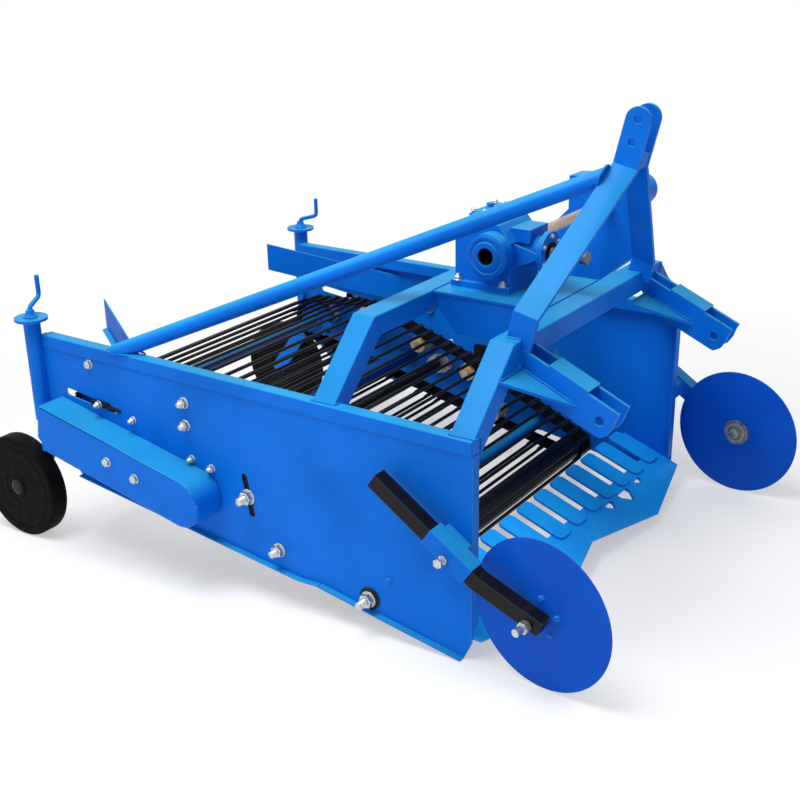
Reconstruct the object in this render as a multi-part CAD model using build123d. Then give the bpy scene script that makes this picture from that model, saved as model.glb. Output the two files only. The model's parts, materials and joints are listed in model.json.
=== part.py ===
from build123d import *
import math
import os

# Potato digger for a tractor's three-point linkage: two side plates under square rails, two arched
# portals, a bevel gearbox on top, a rod conveyor between the plates, a digging blade and two disc
# coulters in front, and two depth wheels behind. Millimetres; X forward, Y left, Z up.
# Everything is laid out with the rails level and Z = 0 at the lowest point of the wheels. At the end
# the machine is tipped onto its wheels and the front lips of its side plates, as it parks.
# Where a shape is the same on both sides it is drawn on the left (+Y) and mirrored.

# ---------------------------------------------------------------- driving dimensions
clearance = 0.3             # running or fitting gap of round and sliding fits

# side plates and rails
plate_outer = 622.0         # outer face of a side plate from the centre plane
plate_t = 5.0
plate_rear = -1486.0        # rear edge of plates and rails, from the plates' front edge at X = 0
rail_top = 680.0
rail_size = 40.0
rail_overhang = 5.0         # the rail stands this far outside the plate
lip_width = 16.0            # shoe flange along the bottom edge of a plate
front_flange_width = 25.0
lip_front = (-25.0, 81.0)   # lowest corner of a plate (X, Z)
lip_rear = (-470.0, 151.0)
belly_front = (-540.0, 148.0)
belly_rise = 0.1167         # slope of the plate's bottom edge towards the rear
tail_rise = 94.0            # height of the sloping cut at the lower rear corner
tail_length = 106.0
nose_cut = 134.0            # height where the plate's straight front edge ends

# portals, the two arches over the crop channel
portal_rise = 182.0         # beam top above the rail top
portal_depth = 58.0         # section in the plane of the arch
portal_inset = 13.0         # foot's outer edge in from the rail's outer face
portals = (                 # name, rear X, front X
    ("front_portal", -70.0, 0.0),
    ("rear_portal", -478.0, -408.0),
)

# three-point mast and lower brackets
mast_bar_t = 12.0
mast_bar_w = 68.0
mast_lean = 13.5            # degrees forward
mast_foot_x = -8.0
mast_feet = (               # name, side, outer face of the foot from the centre plane, its knee's rise
    ("right", -1, 397.0, 65.0),
    ("left", 1, 305.0, 40.0),
)
mast_neck_rise = 372.0
ear_rise = 522.0
ear_gap = 46.0
top_pin_r = 10.25
top_pin_rises = (490.5, 433.0)
link_plate_t = 10.0
link_gap = 46.0
link_pin_r = 12.5
link_pin = (209.0, rail_top + 18.0)
link_slope = 24.1           # degrees down towards the front
link_depth = 84.0
link_length = 259.0
link_root = rail_top + 160.0
link_outer_y = 397.0        # outer face of the outer plate
gusset_t = 8.0
gusset_reach = 107.0
brace_r = 23.0
brace_rear_x = -1150.0
brace_rise = 338.0          # where the brace meets the mast bar, along the bar's leaning height

# gearbox and drive
gear_x = -266.0
gear_rise = 104.0           # gearbox shafts above the portal beams' top
bed_half = 160.0
bed_t = 8.0
cheek_drop = 115.0
housing_rear = 120.0        # the housing's reach behind its cross shaft
housing_front = 50.0
housing_half_y = 80.0
housing_rise = 180.0
housing_lid_t = 26.0
neck_length = 80.0
neck_r = 42.0
neck_flange_r = 58.0
pto_r = 17.5
pto_end = -27.0
cross_r = 16.0
lower_shaft = (-880.0, 322.0)
lower_shaft_r = 15.0
chain_case_depth = 93.0
chain_case_r = 75.0
chain_cover_depth = 100.0
chain_cover_r = 70.0
chain_cover_past = 64.0     # the cover reaches this far past the conveyor's drive shaft
chain_cover_droop = 1.05    # degrees below the line through its two shafts

# rod conveyor: belts round the rollers, flattened rods riveted across them
belt_t = 8.0
belt_w = 60.0
belt_inset = 42.0           # belt's outer edge in from the plate's inner face
rod_r = 5.5
rod_pitch = 42.0
drive_from_rear = 111.0     # drive shaft ahead of the plates' rear edge
drive_z = 425.0
drive_shaft_r = 17.5
sprocket_r = 70.0
sprocket_teeth = 10
nose = (-309.0, 164.0, 36.0)
top_rollers = (             # name, X, Z, radius
    ("front", -710.0, 351.0, 30.0),
    ("middle", -911.0, 415.0, 30.0),
    ("top", -1133.0, 482.0, 32.0),
)
lower_roller_x = -610.0
lower_roller_r = 28.0
lower_roller_press = 3.0    # its centre below the belt's straight way from the sprocket to the nose
axle_r = 10.0
tie_tube = (-450.0, 215.0, 17.0)
cross_member_x = -1010.0
cross_member_z = 352.0

# digging blade and its fingers, on a plane that slopes down towards the front
blade_slope = 20.0
blade_t = 10.0
blade_origin = (10.0, 150.0)
blade_tip_y = 305.0
blade_corner_u = 16.0       # distances along the slope from the origin
blade_tip_u = 89.0
blade_rear_u = -80.0
strip_rear_u = -187.0
strip_w = 74.0
finger_w = 70.0
finger_t = 8.0
finger_pitch = 101.0
finger_count = 12
finger_front_u = -46.0
finger_rear_u = -205.0
soil_holes = (              # distance from the centre plane, half width, length towards the edge
    (207.0, 20.0, 30.0),
    (303.0, 30.0, 48.0),
    (407.0, 18.0, 22.0),
)
soil_hole_u = -41.0

# crop guides behind the gearbox
guide_t = 4.0
guide_front = -900.0
guide_bend = -1033.0
guide_from_rear = 19.0      # free end ahead of the plates' rear edge
guide_inset = 233.0         # free end in from the plate's outer face
guide_h = 92.0
guide_front_drop = 120.0    # guide's bottom edge below the rail's underside
guide_rear_drop = 3.0

# depth wheels on sliding legs
wheel_r = 165.0
wheel_w = 60.0
wheel_from_rear = 144.0     # axle behind the plates' rear edge
wheel_out = 29.0            # centre plane outside the plate's outer face
post_from_rear = 25.0
post_out = 12.0
post_r = 25.0
post_bottom = 410.0
post_flange_r = 49.0
post_flange_t = 8.0
leg_r = 19.0
leg_top = 600.0
leg_arm_t = 12.0
wheel_axle_r = 12.5
leg_travel = 60.0           # up and down from the rest position
crank_r = 7.0
crank_throw = 64.0
crank_rise = 110.0
crank_turns = (             # side, turn of the throw about the post in degrees
    (-1, 98.0),
    (1, 20.0),
)

# disc coulters
disc_r = 195.0
disc_t = 4.0
disc_centre = (199.0, 291.0)
disc_out = 17.0             # hub outside the plate's outer face
disc_axle_r = 10.0
disc_axle_out = 118.0
arm_size = 40.0
arm_wall = 4.0
arm_bend = (48.0, 357.0)    # X, Z where the arm's centre line bends
arm_rear_slope = 33.5       # degrees down towards the front
arm_front_slope = 21.5
arm_rear_length = 348.0
arm_travel = 80.0           # out of the sleeve from the rest position
sleeve_wall = 4.7
sleeve_length = 138.0
sleeve_from_bend = 20.0
disc_sides = (              # name, side, arm outside the plate's outer face, disc's turn in degrees
    ("right", -1, 53.0, -8.0),
    ("left", 1, 68.0, -6.0),
)

# ---------------------------------------------------------------- worked out from them
plate_inner = plate_outer - plate_t
rail_outer = plate_outer + rail_overhang
rail_inner = rail_outer - rail_size
rail_bottom = rail_top - rail_size
beam_top = rail_top + portal_rise
portal_foot = rail_outer - portal_inset
portal_knee = portal_foot - portal_rise
ear_outer = ear_gap / 2 + mast_bar_t
gear_z = beam_top + gear_rise
belt_outer = plate_inner - belt_inset
belt_inner = belt_outer - belt_w
drive_x = plate_rear + drive_from_rear
case_inner = rail_outer
guide_end = plate_rear + guide_from_rear
guide_end_y = plate_outer - guide_inset
wheel_x = plate_rear - wheel_from_rear
wheel_y = plate_outer + wheel_out
post_x = plate_rear - post_from_rear
post_y = plate_outer + post_out
disc_y = plate_outer + disc_out
disc_axle_end = plate_outer + disc_axle_out

# the right chain cover follows its two shafts, to the whole millimetre and tenth of a degree
shafts_run = (lower_shaft[0] - drive_x, drive_z - lower_shaft[1])
chain_cover_length = round(math.hypot(*shafts_run) + chain_cover_past)
shafts_rise = math.degrees(math.atan2(shafts_run[1], shafts_run[0]))
chain_cover_tilt = round(shafts_rise - chain_cover_droop, 1)

# the lower roller presses the belt's lower run down a little, to the whole millimetre
run_share = (lower_roller_x - drive_x) / (nose[0] - drive_x)
run_radius = sprocket_r + (nose[2] - sprocket_r) * run_share
run_z = drive_z + (nose[1] - drive_z) * run_share - run_radius
lower_roller_z = round(run_z + lower_roller_r - lower_roller_press)
rollers = top_rollers + (("lower", lower_roller_x, lower_roller_z, lower_roller_r),)


# ---------------------------------------------------------------- drawing helpers
def prism_y(points, y0, y1):
    """A plate whose outline is drawn in X and Z, from y0 to y1."""
    outline = Plane.XZ.offset(-y1) * Polygon(*points, align=None)
    return extrude(outline, y1 - y0, dir=(0, -1, 0))


def prism_x(points, x0, x1):
    """A plate whose outline is drawn in Y and Z, from x0 to x1."""
    outline = Plane.YZ.offset(x0) * Polygon(*points, align=None)
    return extrude(outline, x1 - x0, dir=(1, 0, 0))


def prism_z(points, z0, z1):
    """A plate whose outline is drawn in X and Y, from z0 to z1."""
    outline = Plane.XY.offset(z0) * Polygon(*points, align=None)
    return extrude(outline, z1 - z0, dir=(0, 0, 1))


def block(x0, x1, y0, y1, z0, z1):
    return Pos(x0, y0, z0) * Box(x1 - x0, y1 - y0, z1 - z0, align=(Align.MIN,) * 3)


def rod(start, end, radius):
    """A round bar between two points."""
    run = Vector(*end) - Vector(*start)
    bar = Cylinder(radius, run.length, align=(Align.CENTER, Align.CENTER, Align.MIN))
    return Plane(origin=start, z_dir=run).location * bar


def rod_y(x, z, radius, y0, y1):
    return rod((x, y0, z), (x, y1, z), radius)


def slot_y(start, end, radius, y0, y1):
    """The cutter of a long hole through a plate, between two (X, Z) centres."""
    run = Vector(end[0] - start[0], end[1] - start[1])
    side = Vector(-run.Y, run.X).normalized() * radius
    outline = [(start[0] + side.X, start[1] + side.Y), (end[0] + side.X, end[1] + side.Y),
               (end[0] - side.X, end[1] - side.Y), (start[0] - side.X, start[1] - side.Y)]
    ends = rod_y(*start, radius, y0, y1) + rod_y(*end, radius, y0, y1)
    return ends + prism_y(outline, y0, y1)


def offset_line(points, distance):
    """The points of an open line moved sideways to its right, with mitred corners."""
    runs = [Vector(b[0] - a[0], b[1] - a[1]).normalized() for a, b in zip(points, points[1:])]
    moved = []
    for i, point in enumerate(points):
        before = runs[max(i - 1, 0)]
        after = runs[min(i, len(runs) - 1)]
        right = (Vector(before.Y, -before.X) + Vector(after.Y, -after.X)).normalized()
        reach = distance / right.dot(Vector(after.Y, -after.X))
        moved.append((point[0] + right.X * reach, point[1] + right.Y * reach))
    return moved


def band(points, thickness):
    """The outline of a bent strip: a line and the same line moved to its right."""
    return list(points) + offset_line(points, thickness)[::-1]


def mirrored(shape):
    return mirror(shape, about=Plane.XZ)


def both(name, shape):
    """Store a left-hand shape and its mirror image as two parts."""
    parts["left_" + name] = shape
    parts["right_" + name] = mirrored(shape)


parts = {}


# ---------------------------------------------------------------- side plates and rails
def side_plate():
    belly_rear_x = plate_rear + tail_length
    belly_rear_z = belly_front[1] + (belly_front[0] - belly_rear_x) * belly_rise
    outline = [(0, rail_bottom), (0, nose_cut), lip_front, lip_rear, belly_front,
               (belly_rear_x, belly_rear_z), (plate_rear, belly_rear_z + tail_rise),
               (plate_rear, rail_bottom)]
    plate = prism_y(outline, plate_inner, plate_outer)
    lip = prism_y(band([lip_rear, lip_front], -plate_t), plate_outer, plate_outer + lip_width)
    flange_foot = nose_cut + 38
    flange = block(-plate_t, 0, plate_inner - front_flange_width, plate_inner,
                   flange_foot, rail_bottom)
    plate = plate + lip + flange
    through = (plate_inner - 1, plate_outer + 1)
    roller_x, roller_z = rollers[0][1:3]
    plate -= slot_y((roller_x - 11, roller_z + 56), (roller_x + 9.4, roller_z - 48),
                    axle_r + 2 * clearance, *through)
    plate -= slot_y((drive_x - 22, drive_z + 91), (drive_x + 164, drive_z + 71), 11, *through)
    plate -= rod_y(drive_x, drive_z, drive_shaft_r + clearance, *through)
    plate -= rod_y(*lower_shaft, lower_shaft_r + clearance, *through)
    plate -= rod_y(nose[0], nose[1], axle_r + clearance, *through)
    return plate


both("side_plate", side_plate())
both("top_rail", block(plate_rear, 0, rail_inner, rail_outer, rail_bottom, rail_top))


# ---------------------------------------------------------------- portals and gearbox bed
def portal(x0, x1):
    """A flat arch with mitred corners: a level beam and two legs that slope down to the rails."""
    mitre = portal_depth * math.tan(math.radians(22.5))
    beam_bottom = beam_top - portal_depth
    inner_corner = portal_knee - mitre
    foot_z = beam_bottom - (rail_inner - inner_corner)
    half = [(inner_corner, beam_bottom), (rail_inner, foot_z), (rail_inner, rail_top),
            (portal_foot, rail_top), (portal_knee, beam_top)]
    outline = half + [(-y, z) for y, z in reversed(half)]
    return prism_x(outline, x0, x1)


for name, x0, x1 in portals:
    parts[name] = portal(x0, x1)

bed_rear = portals[1][2]
bed_front = portals[0][1]


def gearbox_bed():
    bed = block(bed_rear, bed_front, -bed_half, bed_half, beam_top - bed_t, beam_top)
    cheek_top = beam_top - bed_t
    cheek_bottom = beam_top - cheek_drop
    cheek = [(bed_rear, cheek_top), (bed_rear, cheek_top - 20), (bed_rear + 70, cheek_bottom),
             (bed_front - 20, cheek_bottom), (bed_front, cheek_bottom + 20), (bed_front, cheek_top)]
    cheek_t = 8
    cheek_in = bed_half - 5 - cheek_t
    left = prism_y(cheek, cheek_in, cheek_in + cheek_t)
    left += block(bed_rear + 90, bed_rear + 96, cheek_in - 45, cheek_in, cheek_bottom, cheek_top)
    return bed + left + mirrored(left)


parts["gearbox_bed"] = gearbox_bed()


# ---------------------------------------------------------------- mast, brace, lower brackets
mast_frame = Plane(origin=(mast_foot_x, 0, beam_top),
                   x_dir=(math.cos(math.radians(mast_lean)), 0, -math.sin(math.radians(mast_lean))),
                   z_dir=(math.sin(math.radians(mast_lean)), 0, math.cos(math.radians(mast_lean))))
link_fall = math.tan(math.radians(link_slope))
link_tip_z = link_root - link_length * link_fall


def mast_bar(foot_y, knee_rise):
    """A left-hand bar, drawn upright and then leaned forward; its foot fits beam and bracket."""
    outer = [(ear_outer, ear_rise), (ear_outer, mast_neck_rise),
             (foot_y, knee_rise), (foot_y, -40)]
    bar = prism_x(band(outer, mast_bar_t), -mast_bar_w / 2, mast_bar_w / 2)
    ear_r = mast_bar_w / 2
    round_top = rod((0, 0, ear_rise - ear_r), (ear_outer + 1, 0, ear_rise - ear_r), ear_r)
    round_top = Rot(0, 0, 90) * round_top
    square_top = block(-ear_r, ear_r, 0, ear_outer + 1, ear_rise - ear_r, ear_rise + 1)
    bar -= square_top - round_top
    for rise in top_pin_rises:
        bar -= rod((0, 0, rise), (0, ear_outer + 1, rise), top_pin_r)
    bar = mast_frame.location * bar
    below = [(-300, beam_top), (0, beam_top), (0, link_root),
             (link_length, link_tip_z), (link_length, 0), (-300, 0)]
    return bar - prism_y(below, 0, foot_y + 1)


for name, side, foot_y, knee_rise in mast_feet:
    bar = mast_bar(foot_y, knee_rise)
    parts[name + "_mast_bar"] = bar if side > 0 else mirrored(bar)
parts["mast_spacer"] = mast_frame.location * block(
    mast_bar_w / 2 - 22, mast_bar_w / 2 - 2, -ear_gap / 2, ear_gap / 2,
    mast_neck_rise, mast_neck_rise + 34)


def mast_brace():
    """A tube from the right-hand rail up to the rear edge of the right-hand mast bar."""
    rear = Vector(brace_rear_x, -(rail_outer + rail_inner) / 2, rail_top + brace_r / 2)
    foot_y, knee_rise = mast_feet[0][2:]
    spread = (foot_y - ear_outer) * (mast_neck_rise - brace_rise) / (mast_neck_rise - knee_rise)
    edge = mast_frame.from_local_coords(
        Vector(-mast_bar_w / 2, -ear_outer - spread + mast_bar_t / 2, brace_rise))
    run = (edge - rear).normalized()
    tube = rod(tuple(rear - run * 40), tuple(edge + run * 40), brace_r)
    under = block(brace_rear_x - 200, brace_rear_x + 200, -plate_outer - 100, 0,
                  rail_top - 100, rail_top)
    ahead = mast_frame.location * block(-mast_bar_w / 2, 200, -200, 200, 0, 600)
    return tube - under - ahead


parts["mast_brace"] = mast_brace()

bracket_outer = link_outer_y
bracket_inner = bracket_outer - 2 * link_plate_t - link_gap


def link_bracket():
    """Two plates with a cover between them and a gusset on each side, on the left."""
    drop = link_depth / math.cos(math.radians(link_slope))
    pin_x, pin_z = link_pin
    tip = [(42, 10), (35, -12), (21, -33), (2, -43)]    # the plate's end, from the pin's centre
    lower = [(0, link_root - drop), (pin_x - 8, link_root - drop - (pin_x - 8) * link_fall)]
    outline = [(0, link_root), (link_length, link_tip_z)]
    outline += [(pin_x + dx, pin_z + dz) for dx, dz in tip] + lower[::-1]
    bracket = None
    for y0 in (bracket_inner, bracket_outer - link_plate_t):
        plate = prism_y(outline, y0, y0 + link_plate_t)
        bracket = plate if bracket is None else bracket + plate
    cover = [(72, link_root - 72 * link_fall), (177, link_root - 177 * link_fall)]
    bracket += prism_y(band(cover, -6), bracket_inner, bracket_outer)
    gusset_top = link_root - 50
    slab = [(0, gusset_top), (148, gusset_top - 148 * link_fall)]
    slab = prism_y(band(slab, gusset_t), bracket_inner - gusset_reach, bracket_outer + gusset_reach)
    outer_corner = [(0, bracket_outer), (148, bracket_outer), (0, bracket_outer + gusset_reach)]
    inner_corner = [(0, bracket_inner), (148, bracket_inner), (0, bracket_inner - gusset_reach)]
    for corner in (outer_corner, inner_corner):
        bracket += slab & prism_z(corner, gusset_top - 200, gusset_top + 50)
    return bracket - rod_y(pin_x, pin_z, link_pin_r, bracket_inner - 1, bracket_outer + 1)


both("link_bracket", link_bracket())


# ---------------------------------------------------------------- gearbox and drive
flange_y = 120.0            # faces of the side flanges from the centre plane
flange_r = 60.0
cross_depth = 60.0          # how deep the shafts sit in the housing
pto_depth = 70.0
neck_front = gear_x + housing_front + neck_length


def gearbox_housing():
    """Cast bevel gearbox: body with a lid at its rear, side flanges, ribbed input neck and foot."""
    x0 = gear_x - housing_rear
    x1 = gear_x + housing_front
    foot_t = 18
    top = beam_top + housing_rise
    side = [(x0, beam_top + foot_t), (x0, top - 38), (x0 + 30, top), (gear_x + 14, top),
            (x1, top - 44), (x1, beam_top + foot_t)]
    body = prism_y(side, -housing_half_y, housing_half_y)
    body += block(x0 - 6, x1 + 6, -housing_half_y - 14, housing_half_y + 14,
                  beam_top, beam_top + foot_t)
    lid = block(x0 + 34, x0 + 86, 16 - housing_half_y, housing_half_y - 8, top, top + housing_lid_t)
    body += chamfer(lid.faces().sort_by(Axis.Z)[-1].edges(), 7)
    body += rod_y(gear_x, gear_z, flange_r, -flange_y, -housing_half_y)
    body += rod_y(gear_x, gear_z, flange_r - 12, housing_half_y, flange_y)
    body += rod((x1 - 1, 0, gear_z), (neck_front, 0, gear_z), neck_r)
    body += rod((neck_front - 14, 0, gear_z), (neck_front, 0, gear_z), neck_flange_r)
    body += block(x1 - 20, x1 + 40, -45, 55, gear_z + neck_r - 12, top - 10)
    for rib_y in (-54, -20, 14, 48):
        rib = [(x1 - 1, top - 50), (neck_front - 14, gear_z + 8), (neck_front - 14, gear_z - 8),
               (x1 - 1, gear_z - 40)]
        body += prism_y(rib, rib_y - 4, rib_y + 4)
    body -= rod_y(gear_x, gear_z, 22, -flange_y, -flange_y + cross_depth)
    body -= rod_y(gear_x, gear_z, cross_r + clearance, flange_y - cross_depth, flange_y)
    body -= rod((neck_front - pto_depth, 0, gear_z), (neck_front, 0, gear_z), pto_r + clearance)
    return body


parts["gearbox_housing"] = gearbox_housing()

pto_inner = neck_front - pto_depth + clearance


def pto_input_shaft():
    """Six-spline stub, with the groove that a driveline's catch grips."""
    shaft = rod((pto_inner, 0, gear_z), (pto_end, 0, gear_z), pto_r)
    spline_start = neck_front + 10
    for angle in range(0, 360, 60):
        groove = block(spline_start, pto_end + 1, -4.5, 4.5, pto_r - 3, pto_r + 2)
        shaft -= Pos(0, 0, gear_z) * Rot(angle + 30, 0, 0) * groove
    catch = rod((pto_end - 42, 0, gear_z), (pto_end - 34, 0, gear_z), pto_r + 2)
    catch -= rod((pto_end - 42, 0, gear_z), (pto_end - 34, 0, gear_z), pto_r - 3.5)
    return shaft - catch


parts["pto_input_shaft"] = pto_input_shaft()

cross_inner = flange_y - cross_depth + clearance
cross_seat = 20
parts["cross_shaft"] = rod_y(gear_x, gear_z, cross_r, cross_inner,
                             case_inner + cross_seat - clearance)


def chain_case():
    """The left-hand case, from the gearbox's cross shaft down to the lower shaft."""
    run = Vector(gear_x - lower_shaft[0], gear_z - lower_shaft[1]).normalized()
    side = Vector(-run.Y, run.X) * chain_case_r
    x0, z0 = lower_shaft
    y0, y1 = case_inner, case_inner + chain_case_depth
    front_x = gear_x + 90           # the case's upright front edge
    leg = [(x0 + side.X, z0 + side.Y), (gear_x + side.X, gear_z + side.Y),
           (front_x, gear_z + 25), (front_x, beam_top - 62), (x0 - side.X, z0 - side.Y)]
    case = prism_y(leg, y0, y1) + rod_y(x0, z0, chain_case_r, y0, y1)
    head_r = 50
    head_x, head_z = gear_x + 72, gear_z + 36
    head = [(gear_x - 138, gear_z - 60), (gear_x - 138, gear_z + 70),
            (head_x, head_z + head_r), (head_x + head_r * 0.7, head_z - head_r * 0.72),
            (gear_x + 50, gear_z - 60)]
    case += prism_y(head, y0, y1) + rod_y(head_x, head_z, head_r, y0, y1)
    outer_edges = case.faces().sort_by(Axis.Y)[-1].edges()
    case = chamfer(outer_edges, 6)
    return case - rod_y(gear_x, gear_z, cross_r + clearance, y0 - 1, y0 + cross_seat)


parts["left_chain_case"] = chain_case()


def chain_cover():
    """The right-hand cover, from the lower shaft back to the conveyor's drive shaft."""
    r = chain_cover_r
    length = chain_cover_length
    y1 = -plate_outer
    y0 = y1 - chain_cover_depth
    outline = [(0, r), (-length, r), (-length, -r / 2), (-length + 45, -r), (0, -r)]
    cover = prism_y(outline, y0, y1) + rod_y(0, 0, r, y0, y1)
    cover = chamfer(cover.faces().sort_by(Axis.Y)[0].edges(), 5)
    return Pos(lower_shaft[0], 0, lower_shaft[1]) * Rot(0, chain_cover_tilt, 0) * cover


parts["right_chain_cover"] = chain_cover()
parts["lower_drive_shaft"] = rod_y(*lower_shaft, lower_shaft_r, -plate_outer + clearance,
                                   plate_outer - clearance)


def flange_bearing(x, z, bore):
    """A two-bolt flange bearing on the left plate's inner face."""
    face = plate_inner
    flange = prism_y([(x - 50, z - 8), (x - 50, z + 8), (x - 16, z + 34), (x + 16, z + 34),
                      (x + 50, z + 8), (x + 50, z - 8), (x + 16, z - 34), (x - 16, z - 34)],
                     face - 12, face)
    unit = flange + rod_y(x, z, 30, face - 30, face)
    return unit - rod_y(x, z, bore + clearance, face - 31, face + 1)


bearings = [flange_bearing(*lower_shaft, lower_shaft_r),
            flange_bearing(drive_x, drive_z, drive_shaft_r)]
bearings += [mirrored(unit) for unit in bearings]
parts["shaft_bearings"] = Compound(children=bearings)


# ---------------------------------------------------------------- rod conveyor
def sprocket():
    """A star wheel whose hollows take the rods, on the left-hand belt's centre."""
    y0 = (belt_outer + belt_inner) / 2 - 14
    wheel = rod_y(0, 0, sprocket_r - clearance, y0, y0 + 28)
    for tooth in range(sprocket_teeth):
        angle = math.radians(360 / sprocket_teeth * tooth)
        reach = sprocket_r + 4
        hollow = Pos(reach * math.cos(angle), reach * math.sin(angle)) * RegularPolygon(15, 12)
        wheel -= extrude(Plane.XZ.offset(-y0 + 1) * hollow, 30, dir=(0, 1, 0))
    wheel += rod_y(0, 0, 30, y0 - 16, y0)
    return Pos(drive_x, 0, drive_z) * wheel


drive = rod_y(drive_x, drive_z, drive_shaft_r, -plate_outer + clearance, plate_outer - clearance)
star = sprocket()
parts["conveyor_drive_shaft"] = drive + star + mirrored(star)

nose_end = belt_outer + 6
nose_axle_end = plate_outer + 12
parts["nose_roller"] = (rod_y(nose[0], nose[1], nose[2] - clearance, -nose_end, nose_end)
                        + rod_y(nose[0], nose[1], axle_r, -nose_axle_end, nose_axle_end))


def belt_roller(x, z, r):
    """A nylon roller under the left belt, bored for its axle."""
    roller = rod_y(x, z, r - clearance, belt_inner - 4, belt_outer + 4)
    return roller - rod_y(x, z, axle_r + clearance, belt_inner - 5, belt_outer + 5)


left_rollers = [belt_roller(x, z, r) for _, x, z, r in rollers]
parts["belt_rollers"] = Compound(children=left_rollers + [mirrored(r) for r in left_rollers])


def roller_axle(x, z, end):
    """A stub axle inside the left belt's roller, carried by the left plate."""
    return rod_y(x, z, axle_r, belt_inner - 12, end)


plate_seat = plate_inner - clearance
axle_ends = {"front": plate_outer + 14}
left_axles = [roller_axle(x, z, axle_ends.get(name, plate_seat)) for name, x, z, _ in rollers]
parts["roller_axles"] = Compound(children=left_axles + [mirrored(a) for a in left_axles])

# the belt's way round, as seen from the left side: over the top towards the rear, back underneath
circle_of = {name: (x, z, r) for name, x, z, r in rollers}
belt_path = [nose, circle_of["front"], circle_of["middle"], circle_of["top"],
             (drive_x, drive_z, sprocket_r), circle_of["lower"]]


def loop_pieces(circles, grow):
    """Tangent runs and arcs round circles that all lie inside a loop, grown by a distance."""
    runs = []
    for (x0, z0, r0), (x1, z1, r1) in zip(circles, circles[1:] + circles[:1]):
        heading = math.atan2(z1 - z0, x1 - x0)
        span = math.hypot(x1 - x0, z1 - z0)
        normal = heading - math.pi / 2 + math.asin((r0 - r1) / span)
        out = (math.cos(normal), math.sin(normal))
        r0, r1 = r0 + grow, r1 + grow
        runs.append(((x0 + r0 * out[0], z0 + r0 * out[1]),
                     (x1 + r1 * out[0], z1 + r1 * out[1]), normal))
    pieces = []
    for i, (start, end, normal) in enumerate(runs):
        pieces.append(("line", start, end, normal))
        x, z, r = circles[(i + 1) % len(circles)]
        turn = (runs[(i + 1) % len(runs)][2] - normal) % (2 * math.pi)
        pieces.append(("arc", (x, z, r + grow), normal, turn))
    return pieces


def loop_face(circles, grow):
    edges = []
    for kind, a, b, c in loop_pieces(circles, grow):
        if kind == "line":
            edges.append(Line(a, b))
        else:
            x, z, r = a
            spots = [(x + r * math.cos(b + c * part), z + r * math.sin(b + c * part))
                     for part in (0, 0.5, 1)]
            edges.append(ThreePointArc(*spots))
    return make_face(Curve() + edges)


def loop_spots(circles, grow, pitch):
    """Evenly spaced places along the loop: X, Z and the direction that faces outwards."""
    pieces = loop_pieces(circles, grow)
    lengths = []
    for kind, a, b, c in pieces:
        lengths.append(math.dist(a, b) if kind == "line" else a[2] * c)
    count = round(sum(lengths) / pitch)
    step = sum(lengths) / count
    spots = []
    for i in range(count):
        along = (i + 0.5) * step
        for (kind, a, b, c), length in zip(pieces, lengths):
            if along <= length:
                break
            along -= length
        if kind == "line":
            part = along / length
            spots.append((a[0] + (b[0] - a[0]) * part, a[1] + (b[1] - a[1]) * part, c))
        else:
            x, z, r = a
            angle = b + along / r
            spots.append((x + r * math.cos(angle), z + r * math.sin(angle), angle))
    return spots


def belt():
    outline = loop_face(belt_path, belt_t) - loop_face(belt_path, 0)
    return extrude(Plane.XZ.offset(-belt_outer) * outline, belt_w, dir=(0, -1, 0))


left_belt = belt()
parts["conveyor_belts"] = Compound(children=[left_belt, mirrored(left_belt)])

rod_pad_t = 5.0
rod_pad_w = 15.0
rod_sides = 8               # the rods repeat, so they are drawn eight-sided


def web_rod():
    """A round rod with flattened ends, drawn with the belt's surface at Z = 0."""
    pad_in = belt_inner - 6
    section = Pos(0, rod_r) * RegularPolygon(rod_r, rod_sides, rotation=180 / rod_sides)
    bar = extrude(Plane.XZ.offset(-pad_in) * section, 2 * pad_in, dir=(0, -1, 0))
    for side in (-1, 1):
        y0, y1 = sorted((side * pad_in, side * belt_outer))
        bar += block(-rod_pad_w / 2, rod_pad_w / 2, y0, y1, 0, rod_pad_t)
    return bar


rods = []
one_rod = web_rod()
for x, z, facing in loop_spots(belt_path, belt_t + clearance, rod_pitch):
    rods.append(Pos(x, 0, z) * Rot(0, 90 - math.degrees(facing), 0) * one_rod)
parts["conveyor_rods"] = Compound(children=rods)

parts["tie_tube"] = rod_y(tie_tube[0], tie_tube[1], tie_tube[2], -plate_inner, plate_inner)


def cross_member():
    """A folded channel between the plates, open downwards, inside the conveyor's loop."""
    x, z = cross_member_x, cross_member_z
    outline = band([(x - 30, z - 40), (x - 30, z), (x + 30, z), (x + 30, z - 40)], 5)
    return prism_y(outline, -plate_inner, plate_inner)


parts["rear_cross_member"] = cross_member()


# ---------------------------------------------------------------- blade and fingers
slope = math.radians(blade_slope)
blade_frame = Plane(origin=(blade_origin[0], 0, blade_origin[1]),
                    x_dir=(math.cos(slope), 0, -math.sin(slope)),
                    z_dir=(math.sin(slope), 0, math.cos(slope)))


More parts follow.
